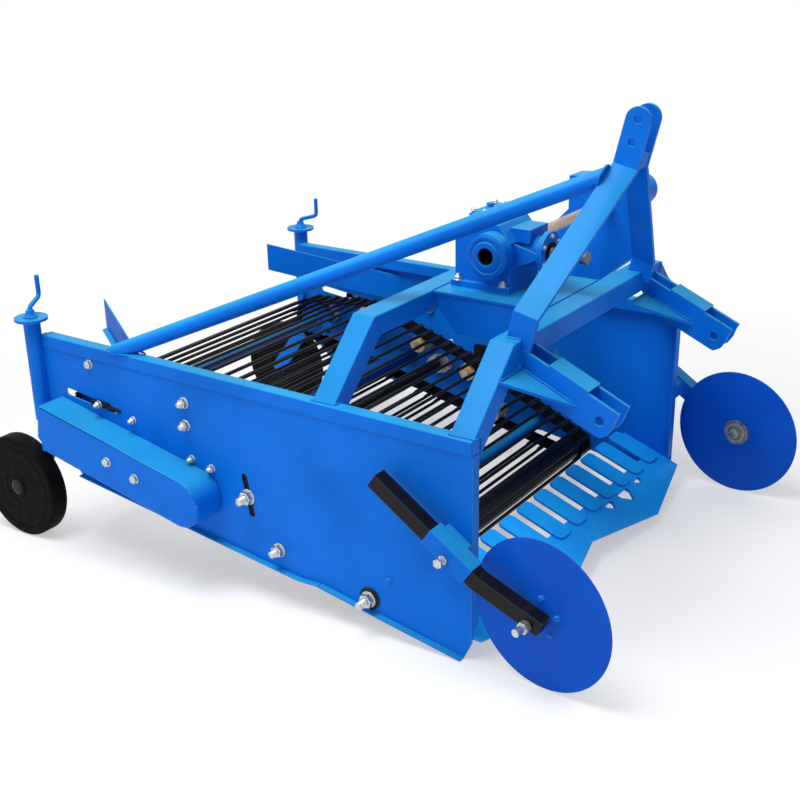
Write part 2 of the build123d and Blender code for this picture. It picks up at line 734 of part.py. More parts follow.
def blade():
    """A W-edged plate with a strip back along each side plate, bevelled along its cutting edge."""
    half = plate_inner
    outline = [(strip_rear_u, half), (blade_corner_u, half), (blade_tip_u, blade_tip_y),
               (blade_corner_u, 0), (blade_tip_u, -blade_tip_y), (blade_corner_u, -half),
               (strip_rear_u, -half), (strip_rear_u, -half + strip_w),
               (blade_rear_u, -half + strip_w), (blade_rear_u, half - strip_w),
               (strip_rear_u, half - strip_w)]
    plate = prism_z(outline, -blade_t, 0)
    bevel = 22
    edge = 2
    for tip_y, side in ((blade_tip_y, 1), (-blade_tip_y, -1)):
        for other in (half * side, 0):
            a = Vector(blade_tip_u, tip_y)
            b = Vector(blade_corner_u, other)
            run = (b - a).normalized()
            inward = Vector(-1, 0) - run * Vector(-1, 0).dot(run)
            inward = inward.normalized()
            wedge_plane = Plane(origin=(a.X, a.Y, 0), x_dir=(inward.X, inward.Y, 0),
                                z_dir=(run.X, run.Y, 0))
            top = wedge_plane.y_dir.Z
            wedge = Polygon((-60, -edge * top), (0, -edge * top), (bevel, -blade_t * top),
                            (bevel, -(blade_t + 5) * top), (-60, -(blade_t + 5) * top), align=None)
            plate -= Pos(-run * 80) * extrude(wedge_plane * wedge, (b - a).length + 160, dir=run)
    for y, w, reach in soil_holes:
        for side in (-1, 1):
            shoulder = soil_hole_u + reach * 0.35
            hole = [(soil_hole_u, side * y - w), (shoulder, side * y - w),
                    (soil_hole_u + reach, side * y), (shoulder, side * y + w),
                    (soil_hole_u, side * y + w)]
            plate -= prism_z(hole, -blade_t - 1, 1)
    return blade_frame.location * plate


parts["blade"] = blade()


def fingers():
    """Flat bars lapped on the blade's rear edge, with rounded front corners and a tapered tail."""
    w = finger_w / 2
    corner = 18
    bars = []
    for i in range(finger_count):
        y = (i - (finger_count - 1) / 2) * finger_pitch
        front = finger_front_u
        outline = [(front, y + w - corner), (front - corner * 0.3, y + w - corner * 0.3),
                   (front - corner, y + w), (finger_rear_u + 12, y + w),
                   (finger_rear_u, y + w - 8), (finger_rear_u, y - w + 8),
                   (finger_rear_u + 12, y - w), (front - corner, y - w),
                   (front - corner * 0.3, y - w + corner * 0.3), (front, y - w + corner)]
        bars.append(blade_frame.location * prism_z(outline, 0, finger_t))
    return bars


parts["blade_fingers"] = Compound(children=fingers())


# ---------------------------------------------------------------- crop guides
def guide_plate():
    """A plate bolted inside the left plate that bends inwards over the conveyor, and its strut."""
    rear_z = rail_bottom - guide_rear_drop
    front_z = rail_bottom - guide_front_drop
    plan = band([(guide_end, guide_end_y), (guide_bend, plate_inner), (guide_front, plate_inner)],
                guide_t)
    face = [(guide_front, front_z), (guide_bend, front_z + 2), (guide_end, rear_z),
            (guide_end, rear_z + guide_h), (guide_bend, front_z + guide_h + 2),
            (guide_front, front_z + guide_h)]
    plate = prism_z(plan, 0, beam_top) & prism_y(face, 0, plate_inner)
    strut_x = (guide_bend * 0.4 + guide_end * 0.6)
    lean = (plate_inner - guide_end_y) / (guide_bend - guide_end)
    strut_y = plate_inner - (guide_bend - strut_x) * lean
    strut_z = front_z + 2 + (rear_z - front_z - 2) * 0.6 + guide_h * 0.3
    strut = rod_y(strut_x, strut_z, 7, strut_y - 2, plate_inner)
    return plate + strut


both("guide_plate", guide_plate())


# ---------------------------------------------------------------- depth wheels
post_top = rail_top + 52


def post():
    """The outer tube that a wheel's leg slides in, with its top flange and weld-on strip."""
    flange_z = post_top
    tube = rod((post_x, post_y, post_bottom), (post_x, post_y, flange_z - post_flange_t), post_r)
    strip = block(plate_rear - 7, plate_rear, plate_inner - 17, post_y,
                  post_bottom + 10, rail_top - 2)
    tube += strip
    bore = leg_r + clearance
    tube -= rod((post_x, post_y, 0), (post_x, post_y, flange_z - post_flange_t - 12), bore)
    top = rod((post_x, post_y, flange_z - post_flange_t), (post_x, post_y, flange_z), post_flange_r)
    return tube + top


both("post", post())


def crank(turn):
    """A Z-bent handle on a hub nut, with its throw turned about the post."""
    path = FilletPolyline((0, 0, 0), (0, 0, 28), (crank_throw, 0, 46), (crank_throw, 0, crank_rise),
                          radius=12)
    bar = sweep(Plane.XY * RegularPolygon(crank_r, 8), path=path)
    hub = extrude(RegularPolygon(16, 6), 12, dir=(0, 0, 1))
    return Rot(0, 0, turn) * (bar + hub)


parts["depth_cranks"] = Compound(children=[Pos(post_x, side * post_y, post_top) * crank(turn)
                                           for side, turn in crank_turns])


def wheel_leg():
    """The sliding tube, the flat arm welded to it and the stub axle, on the left."""
    reach = wheel_r + 8
    back = post_x - leg_r - wheel_x
    bottom = wheel_r + math.sqrt(max(reach ** 2 - back ** 2, 0))
    tube = rod((post_x, post_y, bottom), (post_x, post_y, leg_top), leg_r)
    arm_y = post_y - leg_r - leg_arm_t + 1
    arm_front = plate_rear - 6
    arm = [(arm_front, bottom + 34), (arm_front, bottom + 4), (wheel_x + 26, wheel_r - 14),
           (wheel_x + 14, wheel_r - 26), (wheel_x - 14, wheel_r - 26), (wheel_x - 26, wheel_r - 8),
           (wheel_x - 26, wheel_r + 12), (post_x - 20, bottom + 34)]
    leg = tube + prism_y(arm, arm_y, arm_y + leg_arm_t)
    stub_end = wheel_y + wheel_w / 2 - 1
    return leg + rod_y(wheel_x, wheel_r, wheel_axle_r, arm_y, stub_end)


both("wheel_leg", wheel_leg())


def wheel():
    """A solid wheel with bevelled shoulders, bored for its stub axle."""
    half = wheel_w / 2
    shoulder = 8
    bore = wheel_axle_r + clearance
    side = [(wheel_r, half - shoulder), (wheel_r - shoulder, half), (bore, half)]
    profile = side + [(r, -y) for r, y in reversed(side)]
    ring = revolve(Plane.XY * Polygon(*profile, align=None), Axis.Y)
    return Pos(wheel_x, wheel_y, wheel_r) * ring


both("wheel", wheel())


# ---------------------------------------------------------------- disc coulters
def along(point, degrees, distance):
    """A point moved by a distance along a direction that falls towards the front."""
    angle = math.radians(degrees)
    return (point[0] + distance * math.cos(angle), point[1] - distance * math.sin(angle))


def square_tube(line, size, wall, y):
    """A square tube along an open line of (X, Z) points, centred on the plane at y."""
    outer = band(offset_line(line, -size / 2), size)
    inner_size = size - 2 * wall
    inner = band(offset_line(line, -inner_size / 2), inner_size)
    tube = prism_y(outer, y - size / 2, y + size / 2)
    return tube - prism_y(inner, y - inner_size / 2, y + inner_size / 2)


def disc_parts(side, arm_y, turn):
    """Sleeve, arm, axle and disc of one side, drawn about the plane at side * arm_y."""
    y = side * arm_y
    rear = along(arm_bend, arm_rear_slope, -arm_rear_length)
    reach = (disc_centre[0] - arm_bend[0]) / math.cos(math.radians(arm_front_slope)) + 26
    front = along(arm_bend, arm_front_slope, reach)
    arm = square_tube([rear, arm_bend, front], arm_size, arm_wall, y)
    cap = [along(front, arm_front_slope, -5), front]
    arm += prism_y(band(offset_line(cap, -arm_size / 2), arm_size), y - arm_size / 2, y + arm_size / 2)

    sleeve_front = along(arm_bend, arm_rear_slope, -sleeve_from_bend)
    sleeve_rear = along(sleeve_front, arm_rear_slope, -sleeve_length)
    sleeve_size = arm_size + 2 * clearance + 2 * sleeve_wall
    sleeve = square_tube([sleeve_rear, sleeve_front], sleeve_size, sleeve_wall, y)
    pad_rear = along(sleeve_rear, arm_rear_slope, 12)
    pad_front = along(sleeve_front, arm_rear_slope, -12)
    pad = band(offset_line([pad_rear, pad_front], -18), 36)
    y0, y1 = sorted((side * plate_outer, side * (arm_y - sleeve_size / 2)))
    sleeve += prism_y(pad, y0, y1) & block(-400, 0, y0, y1, 0, 900)

    hub_plane = Plane(origin=(disc_centre[0], side * disc_y, disc_centre[1]),
                      x_dir=(math.cos(math.radians(turn)), math.sin(math.radians(turn)), 0),
                      z_dir=(0, 0, 1))
    place = hub_plane.location
    inboard = -side * 26
    outboard = side * (disc_axle_end - disc_y)
    arm_face = side * (arm_y + arm_size / 2 - disc_y)
    axle = rod((0, inboard, 0), (0, outboard, 0), disc_axle_r)
    hexagon = RegularPolygon(16, 6)
    head = extrude(Plane.XZ.offset(side * 10) * hexagon, 14, dir=(0, -side, 0))
    skew = math.radians(abs(turn))
    nut_face = arm_face / math.cos(skew) + side * 16.5 * math.tan(skew)
    nut = extrude(Plane.XZ.offset(-nut_face) * hexagon, 16, dir=(0, side, 0))
    washer = rod((0, -side * 10.3, 0), (0, -side * 5.3, 0), 30)
    axle = place * (axle + head + nut + washer)
    arm -= place * rod((0, side * 8, 0), (0, outboard, 0), disc_axle_r + clearance)

    blade_half = disc_t / 2
    profile = [(0, -side * blade_half), (disc_r, -side * blade_half), (disc_r, -side * 0.5),
               (disc_r - 14, side * blade_half), (0, side * blade_half)]
    plate = revolve(Plane.XY * Polygon(*profile, align=None), Axis.Y)
    plate += rod((0, -side * 5, 0), (0, side * 9, 0), 36)
    plate -= rod((0, -20, 0), (0, 20, 0), disc_axle_r + clearance)
    return sleeve, arm, axle, place * plate


sleeves = []
for name, side, arm_out, turn in disc_sides:
    sleeve, arm, axle, disc = disc_parts(side, plate_outer + arm_out, turn)
    sleeves.append(sleeve)
    parts[name + "_disc_arm"] = arm
    parts[name + "_disc_axle"] = axle
    parts[name + "_disc"] = disc
parts["disc_sleeves"] = Compound(children=sleeves)

# ---------------------------------------------------------------- stood on the floor
# The wheels and the front corners of the plates' lips share the floor, so the machine is turned
# about Y until the two are level, then moved so that the floor is Z = 0 and its box is centred.
contact_run = lip_front[0] - wheel_x
contact_rise = wheel_r - lip_front[1]
nose_down = (math.asin(wheel_r / math.hypot(contact_run, contact_rise))
             - math.atan2(contact_rise, contact_run))
tipped = Rot(0, math.degrees(nose_down), 0)
boxes = [(tipped * shape).bounding_box() for shape in parts.values()]
centre_x = (min(b.min.X for b in boxes) + max(b.max.X for b in boxes)) / 2
centre_y = (min(b.min.Y for b in boxes) + max(b.max.Y for b in boxes)) / 2
floor_z = wheel_r * math.cos(nose_down) - wheel_x * math.sin(nose_down) - wheel_r
stand = Pos(-centre_x, -centre_y, -floor_z) * tipped

os.makedirs("parts", exist_ok=True)
for name, shape in parts.items():
    export_step(stand * shape, f"parts/{name}.step")
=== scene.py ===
import json
import math
import random

import bmesh
import bpy
from mathutils import Matrix, Vector


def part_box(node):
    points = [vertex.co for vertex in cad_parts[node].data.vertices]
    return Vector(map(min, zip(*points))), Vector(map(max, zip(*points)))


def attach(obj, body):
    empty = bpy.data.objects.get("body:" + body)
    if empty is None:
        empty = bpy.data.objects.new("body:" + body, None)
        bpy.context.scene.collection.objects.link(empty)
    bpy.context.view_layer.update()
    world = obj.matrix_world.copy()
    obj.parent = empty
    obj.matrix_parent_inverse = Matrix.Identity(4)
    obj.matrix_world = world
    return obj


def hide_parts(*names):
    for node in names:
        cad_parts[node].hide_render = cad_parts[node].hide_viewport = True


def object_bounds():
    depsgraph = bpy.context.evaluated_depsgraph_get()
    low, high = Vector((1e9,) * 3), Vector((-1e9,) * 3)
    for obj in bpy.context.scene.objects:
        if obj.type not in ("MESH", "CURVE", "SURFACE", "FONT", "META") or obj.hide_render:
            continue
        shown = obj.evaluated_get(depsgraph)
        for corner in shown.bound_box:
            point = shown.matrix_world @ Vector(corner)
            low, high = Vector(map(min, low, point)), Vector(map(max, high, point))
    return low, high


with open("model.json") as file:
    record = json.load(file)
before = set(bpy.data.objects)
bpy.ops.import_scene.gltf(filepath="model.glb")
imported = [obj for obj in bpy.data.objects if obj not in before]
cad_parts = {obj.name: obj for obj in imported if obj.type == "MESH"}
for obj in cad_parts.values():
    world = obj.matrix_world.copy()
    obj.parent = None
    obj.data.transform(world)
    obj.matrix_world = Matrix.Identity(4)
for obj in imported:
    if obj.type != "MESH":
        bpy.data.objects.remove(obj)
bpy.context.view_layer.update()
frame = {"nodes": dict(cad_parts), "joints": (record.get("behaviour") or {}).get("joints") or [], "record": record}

# The potato digger's looks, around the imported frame. Lengths are metres. The machine stands nose
# down on its wheels and front lips, so places on it are given in its own level frame, in
# millimetres, with the rails level, and LEVEL takes them to the shared frame.
MM = 0.001
PLATE = 622                 # outer face of the left side plate, from the centre plane
PLATE_INSIDE = 617          # its inner face
CASE = 720                  # outer face of the left chain case
GEAR_X, GEAR_Z = -266, 966  # centre of the gearbox's cross shaft
POST_X, POST_Y = -1511, 634     # axis of the left wheel's post
BEAM_TOP = 862              # top of the portals
SHARP = 35.0                # degrees: faces that meet at more than this keep a sharp edge
random.seed(7)              # turns of bolt heads and ripples of welds, the same each run

joints = {joint["name"]: joint for joint in frame["joints"]}
body_of_node = {node: body for body, nodes in frame["record"]["behaviour"]["bodies"].items()
                for node in nodes}
slot_of_node = {part["node"]: part["material_slot"] for part in frame["record"]["subparts"]}

leg_axis = joints["right_leg_slide"]["axis"]
nose_down = math.atan2(leg_axis[0], leg_axis[2])
PTO_JOINT = Vector((-60.0, 0.0, GEAR_Z)) * MM   # the stub's joint, in the level frame
tip = Matrix.Rotation(nose_down, 4, "Y")
LEVEL = Matrix.Translation(Vector(joints["pto_spin"]["pos_m"]) - tip @ PTO_JOINT) @ tip


def spot(x, y, z):
    """A place in the level frame, in millimetres, as a point of the shared frame."""
    return LEVEL @ (Vector((x, y, z)) * MM)


def heading(x, y, z):
    """A direction of the level frame as a unit vector of the shared frame."""
    return (tip @ Vector((x, y, z))).normalized()


# ---------------------------------------------------------------- materials
class Nodes:
    """A short way to write a material's node tree."""

    def __init__(self, name):
        self.material = bpy.data.materials.new(name)
        self.material.use_nodes = True
        self.tree = self.material.node_tree
        self.shader = self.tree.nodes["Principled BSDF"]
        self.own = self.add("ShaderNodeTexCoord").outputs["Object"]

    def add(self, kind, **values):
        node = self.tree.nodes.new(kind)
        for name, value in values.items():
            setattr(node, name, value)
        return node

    def link(self, source, target):
        self.tree.links.new(source, target)

    def set(self, **values):
        """Set the shader's own sockets; an underscore stands for a space."""
        for name, value in values.items():
            self.shader.inputs[name.replace("_", " ")].default_value = value

    def noise(self, scale, detail=3.0, rough=0.5, stretch=None):
        node = self.add("ShaderNodeTexNoise")
        node.inputs["Scale"].default_value = scale
        node.inputs["Detail"].default_value = detail
        node.inputs["Roughness"].default_value = rough
        source = self.own
        if stretch:
            mapping = self.add("ShaderNodeMapping")
            mapping.inputs["Scale"].default_value = stretch
            self.link(self.own, mapping.inputs["Vector"])
            source = mapping.outputs["Vector"]
        self.link(source, node.inputs["Vector"])
        return node.outputs["Fac"]

    def ramp(self, source, *stops):
        """A colour ramp; each stop is a place and a grey level or a colour."""
        node = self.add("ShaderNodeValToRGB")
        elements = node.color_ramp.elements
        while len(elements) < len(stops):
            elements.new(0.5)
        for element, (at, colour) in zip(elements, stops):
            element.position = at
            colour = (colour,) * 3 if isinstance(colour, (int, float)) else colour
            element.color = (*colour[:3], 1.0)
        self.link(source, node.inputs["Fac"])
        return node.outputs["Color"]

    def mix(self, factor, first, second):
        """The first colour where the factor is 0 and the second where it is 1."""
        node = self.add("ShaderNodeMix", data_type="RGBA")
        for socket, value in ((node.inputs[0], factor), (node.inputs[6], first),
                              (node.inputs[7], second)):
            if isinstance(value, (int, float)):
                socket.default_value = value
            elif isinstance(value, tuple):
                socket.default_value = (*value[:3], 1.0)
            else:
                self.link(value, socket)
        return node.outputs[2]

    def bump(self, height, strength, distance):
        """Add a bump over those that the shader already has."""
        node = self.add("ShaderNodeBump")
        node.inputs["Strength"].default_value = strength
        node.inputs["Distance"].default_value = distance
        self.link(height, node.inputs["Height"])
        previous = self.shader.inputs["Normal"]
        if previous.is_linked:
            self.link(previous.links[0].from_socket, node.inputs["Normal"])
        self.link(node.outputs["Normal"], previous)

    def facing_up(self):
        """White on faces that look up at the sky, black on upright and lower ones."""
        geometry = self.add("ShaderNodeNewGeometry")
        axes = self.add("ShaderNodeSeparateXYZ")
        self.link(geometry.outputs["Normal"], axes.inputs["Vector"])
        return self.ramp(axes.outputs["Z"], (0.30, 0.0), (0.88, 1.0))

    def edges(self):
        """White near the edges of a piece, from how far a rounded normal leans away."""
        bevel = self.add("ShaderNodeBevel", samples=4)
        bevel.inputs["Radius"].default_value = 2.8 * MM
        geometry = self.add("ShaderNodeNewGeometry")
        dot = self.add("ShaderNodeVectorMath", operation="DOT_PRODUCT")
        self.link(bevel.outputs["Normal"], dot.inputs[0])
        self.link(geometry.outputs["Normal"], dot.inputs[1])
        return self.ramp(dot.outputs["Value"], (0.80, 0.85), (0.985, 0.0))


def enamel(name, colour, top_lit_colour, spread=0.10, peel=0.10):
    """Sprayed gloss enamel: colour drift, painted top light, orange peel, dust, painted edge highlight."""
    m = Nodes(name)
    rough = 0.4
    cloud = m.noise(3.5, 4.0)
    # the second ramp, for faces that look up, is a painted top light: a lighter, greener copy of the paint
    drift, painted_top_light = (m.ramp(cloud, (0.35, tuple(c * (1 - spread) for c in paint)),
                            (0.65, tuple(min(1.0, c * (1 + spread) + 0.002) for c in paint)))
                     for paint in (colour, top_lit_colour))
    grime = m.ramp(m.noise(16.0, 6.0, 0.7), (0.56, 0.0), (0.80, 0.22))
    dust_and_top_light = m.mix(grime, m.mix(m.facing_up(), drift, painted_top_light),
                  tuple(c * 0.62 + 0.006 for c in colour))
    # lit_edge is a painted highlight: lighter paint along the edges, where the bevel mask is white
    lit_edge = tuple(c * 0.9 + 0.055 + 0.12 * (c > 0.1) for c in colour)
    m.link(m.mix(m.edges(), dust_and_top_light, lit_edge), m.shader.inputs["Base Color"])
    m.link(m.ramp(m.noise(9.0, 5.0, 0.6), (0.3, rough * 0.75), (0.75, rough * 1.35)),
           m.shader.inputs["Roughness"])
    m.set(Coat_Weight=0.03, Coat_Roughness=0.16, Specular_IOR_Level=0.06)
    m.bump(m.noise(420.0, 2.0), peel, 0.0004)
    m.bump(m.noise(26.0, 3.0), 0.06, 0.002)
    return m.material


def rolled_black(name):
    """Black steel with scuffs along it and a thin brown film where soil has rubbed."""
    m = Nodes(name)
    black, grey, bare_steel_and_highlight = (0.004, 0.004, 0.005), (0.013, 0.013, 0.014), (0.09, 0.09, 0.095)
    rough = 0.34
    scuff = m.noise(40.0, 6.0, 0.65, stretch=(1.0, 0.12, 1.0))
    soil = m.ramp(m.noise(7.0, 5.0, 0.6), (0.5, 0.0), (0.85, 0.22))
    base = m.mix(m.ramp(scuff, (0.45, 0.0), (0.75, 0.5)), black, grey)
    # grey along the edges: part bare steel where it is worn, part a painted highlight where the edges catch the
    # light
    worn_and_lit_edges = m.mix(m.edges(), base, bare_steel_and_highlight)
    m.link(m.mix(soil, worn_and_lit_edges, (0.022, 0.018, 0.014)), m.shader.inputs["Base Color"])
    m.link(m.ramp(scuff, (0.3, rough * 0.8), (0.8, rough * 1.5)), m.shader.inputs["Roughness"])
    m.set(Coat_Weight=0.05, Coat_Roughness=0.2, Specular_IOR_Level=0.15)
    m.bump(m.noise(260.0, 3.0), 0.15, 0.0005)
    return m.material


def oiled_steel(name, base, bright):
    """Machined steel left bare: brushed round, oiled and faintly stained."""
    m = Nodes(name)
    stain = m.noise(55.0, 6.0, 0.65, stretch=(1.0, 0.25, 1.0))
    m.link(m.ramp(stain, (0.35, base), (0.7, bright)), m.shader.inputs["Base Color"])
    m.link(m.ramp(stain, (0.3, 0.30), (0.8, 0.52)), m.shader.inputs["Roughness"])
    m.set(Metallic=0.55)
    m.bump(m.noise(500.0, 3.0), 0.15, 0.0003)
    return m.material


def rubber(name):
    """Moulded rubber: matt, faintly grey where it is rubbed, with a fabric-like grain."""
    m = Nodes(name)
    rubbed = m.ramp(m.noise(22.0, 6.0, 0.7), (0.45, 0.0), (0.8, 0.55))
    m.link(m.mix(rubbed, (0.003, 0.003, 0.0035), (0.008, 0.008, 0.009)),
           m.shader.inputs["Base Color"])
    m.set(Specular_IOR_Level=0.05)
    m.link(m.ramp(m.noise(60.0, 3.0), (0.3, 0.50), (0.7, 0.72)), m.shader.inputs["Roughness"])
    grain = m.add("ShaderNodeTexWave", wave_type="BANDS", bands_direction="Y")
    grain.inputs["Scale"].default_value = 160.0
    grain.inputs["Distortion"].default_value = 1.5
    m.link(m.own, grain.inputs["Vector"])
    m.bump(grain.outputs["Fac"], 0.10, 0.0004)
    m.bump(m.noise(340.0, 3.0), 0.25, 0.0005)
    return m.material


def zinc(name):
    """Bright zinc plating with a mottled bloom."""
    m = Nodes(name)
    bloom = m.noise(120.0, 5.0, 0.6)
    m.link(m.ramp(bloom, (0.3, (0.42, 0.43, 0.43)), (0.7, (0.72, 0.73, 0.72))),
           m.shader.inputs["Base Color"])
    m.link(m.ramp(bloom, (0.3, 0.38), (0.75, 0.22)), m.shader.inputs["Roughness"])
    m.set(Metallic=0.9)
    m.bump(m.noise(900.0, 2.0), 0.12, 0.0003)
    return m.material


def nylon(name):
    """Cast nylon rollers, tan with darker scuffs round them."""
    m = Nodes(name)
    scuff = m.noise(30.0, 5.0, 0.65, stretch=(1.0, 4.0, 1.0))
    m.link(m.ramp(scuff, (0.35, (0.55, 0.36, 0.10)), (0.55, (0.72, 0.50, 0.17)),
                  (0.8, (0.30, 0.20, 0.08))), m.shader.inputs["Base Color"])
    m.link(m.ramp(scuff, (0.3, 0.42), (0.8, 0.62)), m.shader.inputs["Roughness"])
    m.set(Subsurface_Weight=0.05)
    m.bump(m.noise(200.0, 3.0), 0.15, 0.0004)
    return m.material


MATERIALS = {
    # each enamel's second colour is its painted top light, lighter and greener, for faces that look up
    "blue_paint": enamel("gloss_blue", (0.001, 0.140, 0.63), (0.014, 0.262, 0.55)),
    "dark_blue_paint": enamel("dark_blue", (0.003, 0.05, 0.30), (0.006, 0.07, 0.30)),
    # blade: the same blue paint lightened, a painted highlight over the whole blade
    "blade_paint": enamel("blade_blue_painted_light", (0.004, 0.21, 0.75), (0.008, 0.35, 0.97), spread=0.16,
                          peel=0.2),
    "black_steel": rolled_black("rolled_black"),
    "black_rubber": rubber("moulded_rubber"),
    "bright_steel": zinc("bright_zinc"),
    "tan_nylon": nylon("cast_nylon"),
}
# its second colour is likewise a painted top light
disc_blue = enamel("disc_blue", (0.001, 0.082, 0.52), (0.010, 0.15, 0.48))
dull_steel = oiled_steel("dull_steel", (0.09, 0.09, 0.08), (0.30, 0.30, 0.27))
FINISHES = {                # nodes and pieces whose finish is their own
    "right_hub_nut": dull_steel,
    "left_hub_nut": dull_steel,
    "right_coulter": disc_blue,
    "left_coulter": disc_blue,
    "cross_shaft": oiled_steel("tan_steel", (0.34, 0.25, 0.20), (0.56, 0.45, 0.40)),
    "pto_input_shaft": oiled_steel("dark_steel", (0.05, 0.05, 0.055), (0.20, 0.20, 0.21)),
}
for node, cad_piece in frame["nodes"].items():
    cad_piece.data.materials.clear()
    cad_piece.data.materials.append(FINISHES.get(node) or MATERIALS[slot_of_node[node]])


# ---------------------------------------------------------------- mesh helpers
def finish_piece(name, mesh, material_slot, body, sharp=SHARP):
    """Wrap a mesh, already in the shared frame, as a piece that rides on a body."""
    for polygon in mesh.polygons:
        polygon.use_smooth = True
    mesh.set_sharp_from_angle(angle=math.radians(sharp))
    mesh.materials.clear()
    finish = FINISHES.get(name.removesuffix("_skin"))
    mesh.materials.append(finish or MATERIALS[material_slot])
    piece = bpy.data.objects.new(name, mesh)
    bpy.context.scene.collection.objects.link(piece)
    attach(piece, body)
    return piece


def finish_bmesh(name, bm, material_slot, body, sharp=SHARP):
    """A piece from a bmesh, which is used up."""
    mesh = bpy.data.meshes.new(name)
    bm.to_mesh(mesh)
    bm.free()
    return finish_piece(name, mesh, material_slot, body, sharp)


def ring(bm, centre, across, along, corners):
    """A ring of vertices: corners are (a, b) pairs measured along two directions."""
    return [bm.verts.new(centre + across * a + along * b) for a, b in corners]


def bridge(bm, first, second):
    """A band of faces between two rings of as many vertices."""
    count = len(first)
    for i in range(count):
        j = (i + 1) % count
        bm.faces.new((first[i], first[j], second[j], second[i]))


def skin(bm, rings):
    """Bands of faces from each ring to the next, open at both ends."""
    for first, second in zip(rings, rings[1:]):
        bridge(bm, first, second)


def loft(bm, rings):
    """A skin over rings, closed by a face at each end."""
    bm.faces.new(list(reversed(rings[0])))
    skin(bm, rings)
    bm.faces.new(rings[-1])


def circle(radius, count, turn=0.0):
    """Corners of a regular polygon, as pairs for a ring."""
    step = 2 * math.pi / count
    return [(radius * math.cos(i * step + turn), radius * math.sin(i * step + turn))
            for i in range(count)]


def square_to(axis):
    """Two unit vectors square to an axis and to each other, right-handed with it."""
    helper = Vector((0, 0, 1)) if abs(axis.z) < 0.9 else Vector((1, 0, 0))
    across = helper.cross(axis).normalized()
    return across, axis.cross(across)


def lathe(bm, base, axis, profile, count=32, turn=0.0):
    """A turned solid: profile is (height along the axis, radius) from end to end, capped."""
    across, along = square_to(axis)
    loft(bm, [ring(bm, base + axis * height, across, along, circle(radius, count, turn))
              for height, radius in profile])


def bar(bm, points, radii, count=16):
    """A bar through points, with a radius at each, its ends capped."""
    rings = []
    across = None
    for i, (point, radius) in enumerate(zip(points, radii)):
        ahead = (points[min(i + 1, len(points) - 1)] - points[max(i - 1, 0)]).normalized()
        if across is None:
            across = square_to(ahead)[0]
        across = (across - ahead * across.dot(ahead)).normalized()
        rings.append(ring(bm, point, across, ahead.cross(across), circle(radius, count)))
    loft(bm, rings)


def rounded(corners, radius):
    """A line of points with each inner corner rounded by a short curve."""
    steps = 6
    line = [corners[0]]
    for before, corner, after in zip(corners, corners[1:], corners[2:]):
        start = corner + (before - corner).normalized() * radius
        end = corner + (after - corner).normalized() * radius
        for i in range(steps + 1):
            t = i / steps
            line.append(start * (1 - t) ** 2 + corner * 2 * t * (1 - t) + end * t ** 2)
    return line + [corners[-1]]


def hex_head(bm, base, axis, size, height, turn):
    """A six-sided head or nut with a bevelled outer rim; size is the thread's diameter."""
    flat = size * 0.92
    lathe(bm, base, axis, [(0.0, flat), (height * 0.82, flat), (height, flat * 0.86)], 6, turn)


def bolt(bm, base, axis, size, stud=0.0, washer=1.1):
    """A washer and a hexagon head, or with a stud a nut and the thread's end beyond it."""
    turn = random.uniform(0.0, 1.0)
    thick = size * 0.18
    rim = size * washer
    lathe(bm, base, axis, [(0.0, rim), (thick * 0.7, rim), (thick, rim * 0.95)], 24)
    top = base + axis * thick
    if not stud:
        hex_head(bm, top, axis, size, size * 0.65, turn)
        return
    hex_head(bm, top, axis, size, size * 0.8, turn)
    crests = [(0.0, size * 0.5)]
    pitch = size * 0.16
    height = size * 0.8
    while height < size * 0.8 + stud:
        crests += [(height, size * 0.5), (height + pitch / 2, size * 0.44)]
        height += pitch
    lathe(bm, top, axis, crests + [(height, size * 0.5), (height + pitch / 2, size * 0.38)], 16)


def weld(bm, points, width):
    """A rippled bead of weld along a line of points, drawn in at both ends."""
    ripple = 3.5 * MM
    line = [points[0]]
    for start, end in zip(points, points[1:]):
        count = max(1, round((end - start).length / ripple))
        line += [start.lerp(end, (i + 1) / count) for i in range(count)]
    radii = [width * (1.0 + (0.16 if i % 2 else -0.10) + random.uniform(-0.07, 0.07))
             for i in range(len(line))]
    radii[0] = radii[-1] = width * 0.45
    bar(bm, line, radii, 6)


def softened(node, width):
    """A copy of a CAD node with its edges rounded, shown in the node's place."""
    bm = bmesh.new()
    bm.from_mesh(frame["nodes"][node].data)
    bmesh.ops.remove_doubles(bm, verts=bm.verts, dist=1e-5)
    bmesh.ops.dissolve_limit(bm, angle_limit=math.radians(0.8), verts=bm.verts, edges=bm.edges)
    mesh = bpy.data.meshes.new(node + "_skin")
    bm.to_mesh(mesh)
    bm.free()
    piece = finish_piece(node + "_skin", mesh, slot_of_node[node], body_of_node[node],
                         sharp=40.0)
    edge = piece.modifiers.new("edges", "BEVEL")
    edge.width = width * MM
    edge.segments = 2
    edge.limit_method = "ANGLE"
    edge.angle_limit = math.radians(32)
    edge.use_clamp_overlap = True
    edge.harden_normals = True
    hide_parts(node)


# ---------------------------------------------------------------- plates, housings and bars
PAIRED_EDGES = (            # name without its side, edge radius in millimetres
    ("side_plate", 1.2),
    ("top_rail", 4.5),
    ("mast_bar", 2.0),
    ("link_bracket", 2.0),
    ("guide_plate", 1.0),
    ("post", 1.2),
    ("wheel_leg", 1.5),
    ("disc_arm", 3.5),
)
SINGLE_EDGES = (
    ("front_portal", 4.5),
    ("rear_portal", 4.5),
    ("gearbox_bed", 1.5),
    ("gearbox_housing", 3.5),
    ("left_chain_case", 3.0),
    ("right_chain_cover", 5.0),
    ("mast_brace", 1.0),
    ("disc_sleeves", 2.0),
    ("shaft_bearings", 1.5),
    ("blade", 0.7),
    ("blade_fingers", 1.2),
    ("rear_cross_member", 1.5),
    ("pto_input_shaft", 0.6),
    ("conveyor_drive_shaft", 1.2),
    ("belt_rollers", 2.0),
    ("conveyor_belts", 0.8),
)
for name, width in PAIRED_EDGES:
    for side in ("right_", "left_"):
        softened(side + name, width)
for name, width in SINGLE_EDGES:
    softened(name, width)


